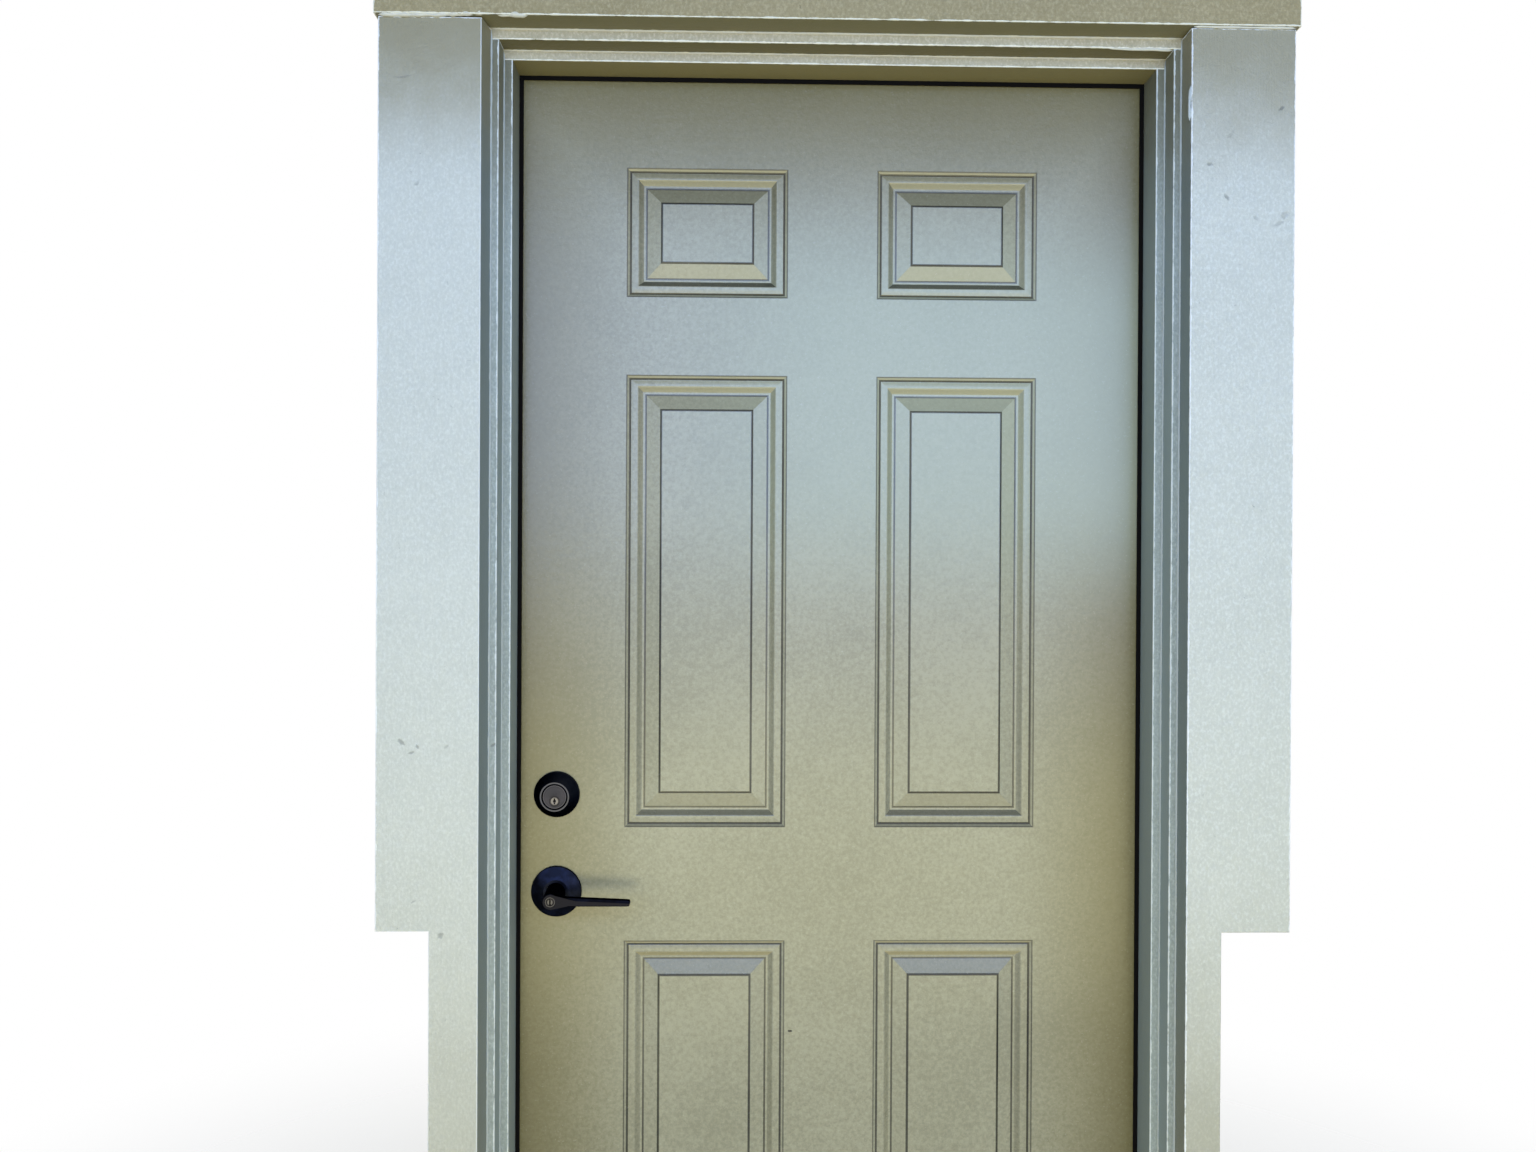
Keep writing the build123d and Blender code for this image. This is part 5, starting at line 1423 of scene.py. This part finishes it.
        def corner(column: int, row: int) -> bmesh.types.BMVert:
            """Make or find the face's vertex at a crossing of two lines.

            Args:
                column: Which upright line.
                row: Which level line.

            Returns:
                The vertex, with its dirt and painted shade, and its wear and painted highlight.
            """
            key = (column, row)
            if key not in grid:
                drop, dirt_and_shade = self.sink(xs[column], zs[row])
                grid[key] = shape.verts.new((self.splayed(xs[column]), self.low.y + drop, zs[row]))
                grid[key][dirt_and_shade_layer] = dirt_and_shade
                worn_and_lit = self.wear_and_highlight_start < self.edge_distance(xs[column], zs[row]) < self.wear_and_highlight_width
                grid[key][wear_and_highlight_layer] = float(worn_and_lit and self.splay > 0)
            return grid[key]

        for row in range(len(zs) - 1):
            for column in range(len(xs) - 1):
                middle_x = (xs[column] + xs[column + 1]) / 2
                middle_z = (zs[row] + zs[row + 1]) / 2
                if self.inside(middle_x, middle_z):
                    shape.faces.new((
                        corner(column, row), corner(column + 1, row),
                        corner(column + 1, row + 1), corner(column, row + 1),
                    ))
        rim = [edge for edge in shape.edges if edge.is_boundary]
        grown = bmesh.ops.extrude_edge_only(shape, edges=rim)
        back = [item for item in grown["geom"] if isinstance(item, bmesh.types.BMVert)]
        for vertex in back:
            vertex.co.y = self.high.y
            if abs(vertex.co.x - self.splayed(self.inner)) < self.touching:
                vertex.co.x = self.inner
            vertex[dirt_and_shade_layer] = 0.0
            vertex[wear_and_highlight_layer] = 0.0
        bmesh.ops.holes_fill(shape, edges=[edge for edge in shape.edges if edge.is_boundary], sides=0)
        bmesh.ops.recalc_face_normals(shape, faces=shape.faces[:])
        sharpen(shape, self.crisp_degrees)
        piece = mesh_piece(f"{self.node}_board", self.body, shape, self.finish)
        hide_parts(self.node)
        return piece


@dataclass
class PaintBead:
    """A wandering bead of caulk or pooled paint along a corner, brushed over with the rest."""

    name: str
    path: tuple[tuple[float, float, float], ...]
    finish: Finish
    radius: float = 1.6 * MM
    swing: float = 0.45
    lump: float = 14 * MM
    spacing: float = 5 * MM
    seed: float = 5.0
    sides: int = 8
    taper: int = 3
    tip: float = 0.6

    def stations(self) -> Iterator[tuple[Vector, Vector]]:
        """Step along the path.

        Yields:
            Each place, with the way that the bead runs there.
        """
        for first, last in zip(self.path, self.path[1:]):
            start, end = Vector(first), Vector(last)
            run = end - start
            count = max(2, round(run.length / self.spacing))
            for step in range(count + (last is self.path[-1])):
                yield start + run * (step / count), run.normalized()

    def build(self) -> bpy.types.Object:
        """Sweep the bead and close its ends.

        Returns:
            The bead.
        """
        shape = bmesh.new()
        rings: list[list[bmesh.types.BMVert]] = []
        places = list(self.stations())
        for index, (place, run) in enumerate(places):
            side = run.cross(Vector((0.0, 1.0, 0.0))).normalized()
            rise = run.cross(side)
            from_end = len(places) - index - (1 - self.tip)
            fade = min(1.0, (index + self.tip) / self.taper, from_end / self.taper)
            ring = []
            for step in range(self.sides):
                angle = 2 * math.pi * step / self.sides
                out = side * math.cos(angle) + rise * math.sin(angle)
                swell = 1 + self.swing * drift(place + out * self.radius, self.lump, self.seed)
                ring.append(shape.verts.new(place + out * (self.radius * swell * fade)))
            rings.append(ring)
        for ring, following in zip(rings, rings[1:]):
            for step in range(self.sides):
                after = (step + 1) % self.sides
                shape.faces.new((ring[step], ring[after], following[after], following[step]))
        shape.faces.new(rings[0])
        shape.faces.new(rings[-1])
        bmesh.ops.recalc_face_normals(shape, faces=shape.faces[:])
        return mesh_piece(self.name, "frame", shape, self.finish)


@dataclass
class Caulking:
    """The beads in the doorframe's corners, and the lumps and runs that old coats of paint left."""

    casing_x: float = 0.4665
    casing_step_y: float = -0.0352
    trim_x: float = 0.4561
    trim_step_y: float = -0.0002
    foot_z: float = 0.004
    head_z: float = 2.0672
    head_clearance: float = 2 * MM
    head_trim_z: float = 2.0531
    board_face_y: float = -0.0742

    def upright(self, side: Side, x: float, y: float, top: float) -> tuple[tuple[float, float, float], ...]:
        """Give the path of a bead that stands beside the doorway and stops under the head."""
        return (side.value * x, y, self.foot_z), (side.value * x, y, top - self.head_clearance)

    @staticmethod
    def level(x: float, y: float, z: float) -> tuple[tuple[float, float, float], ...]:
        """Give the path of a bead that crosses the doorway at its head."""
        return (-x, y, z), (x, y, z)

    def on_boards(self, *points: tuple[float, float]) -> tuple[tuple[float, float, float], ...]:
        """Give the path of a bead along the boards' faces from pairs of its X and Z."""
        return tuple((x, self.board_face_y, z) for x, z in points)

    def build(self) -> None:
        """Lay every bead."""
        beads: list[PaintBead] = []
        for side in Side:
            name = side.name.lower()
            beads += [
                PaintBead(
                    f"{name}_casing_bead", self.upright(side, self.casing_x, self.casing_step_y, self.head_z),
                    PAINTED_CAULK, seed=3.0 + side.value,
                ),
                PaintBead(
                    f"{name}_trim_bead", self.upright(side, self.trim_x, self.trim_step_y, self.head_trim_z),
                    PAINTED_CAULK, radius=1.3 * MM, seed=7.0 + side.value,
                ),
            ]
        beads += [
            PaintBead(
                "head_board_bead", self.level(self.casing_x, self.casing_step_y, self.head_z), CREAM_CAULK,
                seed=15.0,
            ),
            PaintBead(
                "head_trim_bead", self.level(self.trim_x, self.trim_step_y, self.head_trim_z), CREAM_CAULK,
                radius=1.3 * MM, seed=17.0,
            ),
            PaintBead("head_board_lumps", self.on_boards(
                (-0.606, 2.0668), (-0.5250, 2.0675), (-0.4900, 2.0695), (-0.4660, 2.0715),
            ), CREAM_CAULK, radius=3.0 * MM, swing=0.75, lump=9 * MM, spacing=2.5 * MM, seed=19.0),
            PaintBead("board_corner_lumps", self.on_boards(
                (-0.4560, 2.0700), (-0.4110, 2.0688),
            ), CREAM_CAULK, radius=2.9 * MM, swing=0.85, lump=10 * MM, spacing=2.5 * MM, seed=21.0),
            PaintBead("hinge_board_lumps", self.on_boards(
                (0.4690, 2.0668), (0.606, 2.0668),
            ), CREAM_CAULK, radius=1.7 * MM, swing=0.5, spacing=3 * MM, seed=23.0),
            PaintBead("casing_paint_run", (
                (0.4668, -0.0705, 1.9900), (0.4652, -0.0700, 1.9640), (0.4655, -0.0700, 1.9440),
            ), PAINTED_CAULK, radius=2.2 * MM, swing=0.4, spacing=2.5 * MM, seed=25.0),
            PaintBead("head_trim_paint_sag", (
                (0.3660, -0.0335, 2.0540), (0.4000, -0.0335, 2.0526), (0.4280, -0.0335, 2.0532),
                (0.4550, -0.0335, 2.0520),
            ), CREAM_CAULK, radius=1.7 * MM, swing=0.5, lump=20 * MM, spacing=2.5 * MM, seed=27.0),
        ]
        for bead in beads:
            bead.build()


@dataclass
class Casing:
    """The three flat boards round the doorway, brushed with house paint and knocked about."""

    lock_foot: tuple[float, float] = (0.070, 0.865)
    hinge_foot: tuple[float, float] = (0.048, 0.862)
    lock_splay: float = 5 * MM
    head_wave: float = 0.5 * MM

    def build(self) -> None:
        """Mesh the boards over their nodes."""
        Board(
            "lock_casing", "frame", LOCK_CASING_PAINT, "trim_paint", seed=11.0, foot=self.lock_foot,
            splay=self.lock_splay, dents=(
                Dent(-0.5214, 0.8597, 4.5 * MM, stretch=1.2), Dent(-0.5733, 1.1147, 6 * MM, slant=2.4),
                Dent(-0.5524, 1.1082, 3.5 * MM, slant=1.9), Dent(-0.5602, 1.1003, 4 * MM, slant=0.3),
                Dent(-0.5146, 1.1083, 4 * MM, 0.5 * MM, 0.3),
                Dent(-0.5720, 1.9870, 11 * MM, 0.5 * MM, 0.35, 0.15, 6.0),
                Dent(-0.5560, 1.8470, 4 * MM, 0.6 * MM, 0.35, 1.2, 1.3),
            ),
        ).build()
        Board(
            "hinge_casing", "frame", HINGE_CASING_PAINT, "trim_paint", seed=23.0, foot=self.hinge_foot,
            dents=(
                Dent(0.5882, 1.9611, 5.5 * MM, 1.0 * MM, 0.8, 0.65, 2.4),
                Dent(0.4922, 1.8855, 5 * MM, slant=0.1), Dent(0.5152, 1.842, 5 * MM, slant=2.2),
                Dent(0.5933, 1.819, 7 * MM, 0.8 * MM, 0.3, 0.4, 1.6),
                Dent(0.5544, 1.8146, 5 * MM, 0.6 * MM, 0.3, 2.6),
                Dent(0.5200, 1.9250, 7 * MM, 0.5 * MM, 0.25, 0.9, 2.6),
                Dent(0.5860, 1.8080, 8 * MM, 0.6 * MM, 0.3, 0.5, 3.0),
            ),
        ).build()
        Board("head_casing", "frame", SHADED_HEAD_CASING_PAINT, "trim_paint", seed=37.0, wave=self.head_wave).build()


@dataclass
class SteppedTrim:
    """The step between the casing and the jambs, heavily brushed over many times."""

    wave: float = 0.5 * MM
    upright_cell: float = 7 * MM
    lock_dents: tuple[Dent, ...] = (Dent(-0.4606, 1.1056, 4 * MM, 1.0 * MM),)

    def build(self) -> None:
        """Mesh the three lengths over their nodes."""
        Board(
            "lock_stepped_trim", "frame", LOCK_TRIM_PAINT, "jamb_paint", seed=41.0, wave=self.wave,
            cell=self.upright_cell, dents=self.lock_dents,
        ).build()
        Board(
            "hinge_stepped_trim", "frame", HINGE_TRIM_PAINT, "jamb_paint", seed=43.0, wave=self.wave,
            cell=self.upright_cell,
        ).build()
        Board("head_stepped_trim", "frame", WARM_LIT_HEAD_TRIM_PAINT, "jamb_paint", seed=47.0, wave=self.wave).build()


@dataclass
class Doorframe:
    """Jambs, seals and sill, as packed, with their finishes."""

    def build(self) -> None:
        """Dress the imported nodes."""
        dress_nodes(LOCK_JAMB_PAINT, ("lock_jamb",))
        dress_nodes(HINGE_JAMB_PAINT, ("hinge_jamb",))
        dress_nodes(WARM_LIT_HEAD_JAMB_PAINT, ("head_jamb",))
        dress_nodes(SEAL_FOAM, ("lock_weatherstrip", "hinge_weatherstrip", "head_weatherstrip"))
        dress_nodes(MILL_ALUMINIUM, ("sill_tread",))
        dress_nodes(SILL_COMPOSITE, ("sill_substrate", "sill_cap"))
        dress_nodes(ZINC_STEEL, ("sill_cap_screws", "latch_strike", "deadbolt_strike", "strike_screws"))


@dataclass
class Leaf:
    """The hollow steel leaf: two pressed skins over timber edges and a foam core."""

    panels: RaisedPanels = RaisedPanels()
    front_y: float = 56.5 * MM
    back_y: float = 101.0 * MM
    # The bead's section: pairs of an inset from the panel's edge and a drop below the face, in millimetres.
    bead: tuple[tuple[float, float], ...] = (
        (5.2, 3.6), (5.9, 2.95), (7.2, 2.6), (9.4, 2.2), (11.8, 1.85), (13.6, 1.66), (14.8, 1.66),
        (15.8, 1.88), (16.7, 2.4), (17.7, 3.35), (19.0, 4.75), (20.4, 6.1), (21.8, 7.2), (23.6, 8.5),
    )
    crisp_degrees: float = 40.0
    least_rise: float = 0.001 * MM

    def press_bead(self, name: str, face_y: float, inward: int) -> bpy.types.Object:
        """Raise the crisp bead that runs round every panel's moulding, mitred at its corners.

        Args:
            name: The piece's name.
            face_y: Where the skin's flat face lies.
            inward: 1 where drops go toward the building, -1 where they come out of it.

        Returns:
            The bead of all six panels on that skin.
        """
        shape = bmesh.new()
        for side in Side:
            for low, high in self.panels.rows:
                middle = side.value * self.panels.centre_x
                loops = []
                for inset_mm, drop_mm in self.bead:
                    half = self.panels.half_width - inset_mm * MM
                    y = face_y + inward * drop_mm * MM
                    bottom, top = low + inset_mm * MM, high - inset_mm * MM
                    loops.append([shape.verts.new(place) for place in (
                        (middle - half, y, bottom), (middle + half, y, bottom),
                        (middle + half, y, top), (middle - half, y, top),
                    )])
                for loop, following in zip(loops, loops[1:] + loops[:1]):
                    for step in range(4):
                        after = (step + 1) % 4
                        shape.faces.new((loop[step], loop[after], following[after], following[step]))
        bmesh.ops.recalc_face_normals(shape, faces=shape.faces[:])
        sharpen(shape, self.crisp_degrees)
        for edge in shape.edges:
            # Only an edge along a mitre rises from the face.
            first, last = edge.verts
            if abs(first.co.y - last.co.y) > self.least_rise:
                edge.smooth = False
        return mesh_piece(name, "leaf", shape, LEAF_ENAMEL)

    def build(self) -> None:
        """Dress the leaf's nodes and raise its beads."""
        dress_nodes(LEAF_ENAMEL, ("outer_skin", "inner_skin"))
        self.press_bead("outer_panel_beads", self.front_y, 1)
        self.press_bead("inner_panel_beads", self.back_y, -1)
        dress_nodes(CORE_FOAM, ("foam_core",))
        dress_nodes(UPRIGHT_SOFTWOOD, ("lock_stile", "hinge_stile", "lock_block"))
        dress_nodes(LEVEL_SOFTWOOD, ("top_rail", "bottom_rail"))
        dress_nodes(SWEEP_VINYL, ("door_sweep",))


@dataclass
class Hinges:
    """Three butt hinges with their pins and screws."""

    places: tuple[str, ...] = ("top", "middle", "bottom")
    pieces: tuple[str, ...] = ("frame_leaf", "door_leaf", "pin")

    def build(self) -> None:
        """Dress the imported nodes."""
        for place in self.places:
            dress_nodes(HINGE_STEEL, (f"{place}_hinge_{piece}" for piece in self.pieces))
        dress_nodes(HINGE_STEEL, ("frame_hinge_screws", "door_hinge_screws"))


@dataclass
class Locks:
    """The lever lockset and the deadbolt, with their bolts in the leaf's edge."""

    def build(self) -> None:
        """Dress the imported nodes."""
        dress_nodes(DARK_BRONZE, (
            "outer_rose", "inner_rose", "lever_turn_button", "deadbolt_inner_rose", "thumbturn",
            "rose_screws", "deadbolt_screws",
        ))
        dress_nodes(DARK_LEVER, ("outer_lever", "inner_lever"))
        dress_nodes(DARK_COLLAR, ("deadbolt_collar",))
        dress_nodes(WORN_NICKEL, ("deadbolt_cylinder",))
        dress_nodes(PLUG_NICKEL, ("deadbolt_key_plug",))
        dress_nodes(LEVER_PLUG_NICKEL, ("lever_key_plug",))
        dress_nodes(ZINC_STEEL, (
            "latch_housing", "deadbolt_housing", "faceplate_screws", "latch_bolt", "deadbolt_bolt",
            "lock_chassis",
        ))


@dataclass(frozen=True)
class Softbox:
    """A soft lamp, given by its even brightness so that its size can change by itself."""

    name: str
    place: tuple[float, float, float]
    aim: tuple[float, float, float]
    width: float
    height: float
    brightness: tuple[float, float, float]
    # Watts to the square metre that make a lamp's face as bright as 1.
    watts: float = 4.0

    def build(self) -> None:
        """Hang the lamp and turn it to its aim."""
        strongest = max(self.brightness)
        lamp = bpy.data.lights.new(self.name, "AREA")
        lamp.shape = "RECTANGLE"
        lamp.size = self.width
        lamp.size_y = self.height
        lamp.color = tuple(channel / strongest for channel in self.brightness)
        lamp.energy = self.watts * self.width * self.height * strongest
        holder = bpy.data.objects.new(self.name, lamp)
        bpy.context.scene.collection.objects.link(holder)
        direction = Vector(self.aim) - Vector(self.place)
        holder.location = self.place
        holder.rotation_euler = direction.to_track_quat("-Z", "Y").to_euler()
        holder.visible_camera = False


@dataclass
class Studio:
    """A pale floor, soft lamps, a white surround and the camera at the photograph's place."""

    camera_place: tuple[float, float, float] = (-0.1298, -1.7099, 1.3427)
    camera_yaw: float = 0.0227
    camera_pitch: float = -0.0047
    camera_roll: float = 0.0051
    lens_mm: float = 29.06
    sensor_mm: float = 36.0
    near_clip: float = 0.05
    floor_radius: float = 2.4
    floor_sides: int = 96
    floor_drop: float = 0.4 * MM
    surround: tuple[float, float, float, float] = (0.92, 0.97, 1.0, 1.0)
    surround_strength: float = 0.12
    backdrop: str = "#ffffff"
    backdrop_strength: float = 1.0
    lamps: tuple[Softbox, ...] = (
        Softbox("sky_card", (0.15, -2.5, 2.04), (0.15, 0.0, 2.04), 4.4, 1.32, (1.32, 2.02, 3.70)),
        Softbox("middle_card", (0.15, -2.5, 1.16), (0.15, 0.0, 1.16), 4.4, 0.6, (1.10, 1.08, 1.10)),
        Softbox("ground_card", (0.1, -2.1, 0.45), (0.1, 0.0, 0.45), 4.4, 0.85, (1.84, 1.66, 0.70)),
        Softbox("back_fill", (0.0, 3.0, 2.2), (0.0, 0.0, 1.0), 2.4, 2.0, (2.2, 2.2, 2.2)),
    )

    def camera(self) -> None:
        """Stand the camera where the photograph was taken from."""
        right = Vector((math.cos(self.camera_yaw), -math.sin(self.camera_yaw), 0.0))
        ahead = Vector((math.sin(self.camera_yaw), math.cos(self.camera_yaw), 0.0))
        up = Vector((0.0, 0.0, 1.0))
        sight = ahead * math.cos(self.camera_pitch) + up * math.sin(self.camera_pitch)
        top = up * math.cos(self.camera_pitch) - ahead * math.sin(self.camera_pitch)
        across = right * math.cos(self.camera_roll) + top * math.sin(self.camera_roll)
        upright = top * math.cos(self.camera_roll) - right * math.sin(self.camera_roll)
        view = bpy.data.cameras.new("portrait")
        view.sensor_width = self.sensor_mm
        view.lens = self.lens_mm
        view.clip_start = self.near_clip
        holder = bpy.data.objects.new("portrait", view)
        bpy.context.scene.collection.objects.link(holder)
        holder.matrix_world = Matrix((
            (across.x, upright.x, -sight.x, self.camera_place[0]),
            (across.y, upright.y, -sight.y, self.camera_place[1]),
            (across.z, upright.z, -sight.z, self.camera_place[2]),
            (0.0, 0.0, 0.0, 1.0),
        ))
        bpy.context.scene.camera = holder

    def floor(self) -> None:
        """Lay the pale floor."""
        shape = bmesh.new()
        bmesh.ops.create_circle(shape, cap_ends=True, segments=self.floor_sides, radius=self.floor_radius)
        mesh = bpy.data.meshes.new("floor")
        shape.to_mesh(mesh)
        shape.free()
        paper = bpy.data.objects.new("floor", mesh)
        paper.location.z = -self.floor_drop
        bpy.context.scene.collection.objects.link(paper)
        STUDIO_PAPER.dress(paper)

    def surroundings(self) -> None:
        """Light the room evenly, and let the camera, gloss and glass see it as white."""
        world = bpy.data.worlds.new("studio")
        world.use_nodes = True
        tree = world.node_tree
        tree.nodes.clear()
        dim = add_node(tree, "ShaderNodeBackground", None, {
            "Color": self.surround, "Strength": self.surround_strength,
        })
        white = add_node(tree, "ShaderNodeBackground", None, {
            "Color": linear(self.backdrop), "Strength": self.backdrop_strength,
        })
        path = add_node(tree, "ShaderNodeLightPath")
        mirrored = add_node(tree, "ShaderNodeMath", {"operation": "MAXIMUM"}, {
            0: path.outputs["Is Camera Ray"], 1: path.outputs["Is Glossy Ray"],
        })
        seen = add_node(tree, "ShaderNodeMath", {"operation": "MAXIMUM"}, {
            0: mirrored.outputs["Value"], 1: path.outputs["Is Transmission Ray"],
        })
        sky = add_node(tree, "ShaderNodeMixShader", None, {
            0: seen.outputs["Value"], 1: dim.outputs["Background"], 2: white.outputs["Background"],
        })
        output = add_node(tree, "ShaderNodeOutputWorld", None, {"Surface": sky.outputs["Shader"]})
        output.is_active_output = True
        bpy.context.scene.world = world

    def build(self) -> None:
        """Set up the camera, the floor, the surroundings and the lamps."""
        self.camera()
        self.floor()
        self.surroundings()
        for lamp in self.lamps:
            lamp.build()
        bpy.context.scene.view_settings.view_transform = "Standard"


def main() -> None:
    """Build and dress every sub-assembly in order."""
    logging.basicConfig(level=logging.INFO, format="%(name)s %(message)s")
    Studio().build()
    Casing().build()
    SteppedTrim().build()
    Caulking().build()
    Doorframe().build()
    Leaf().build()
    Hinges().build()
    Locks().build()


if __name__ == "__main__":
    main()
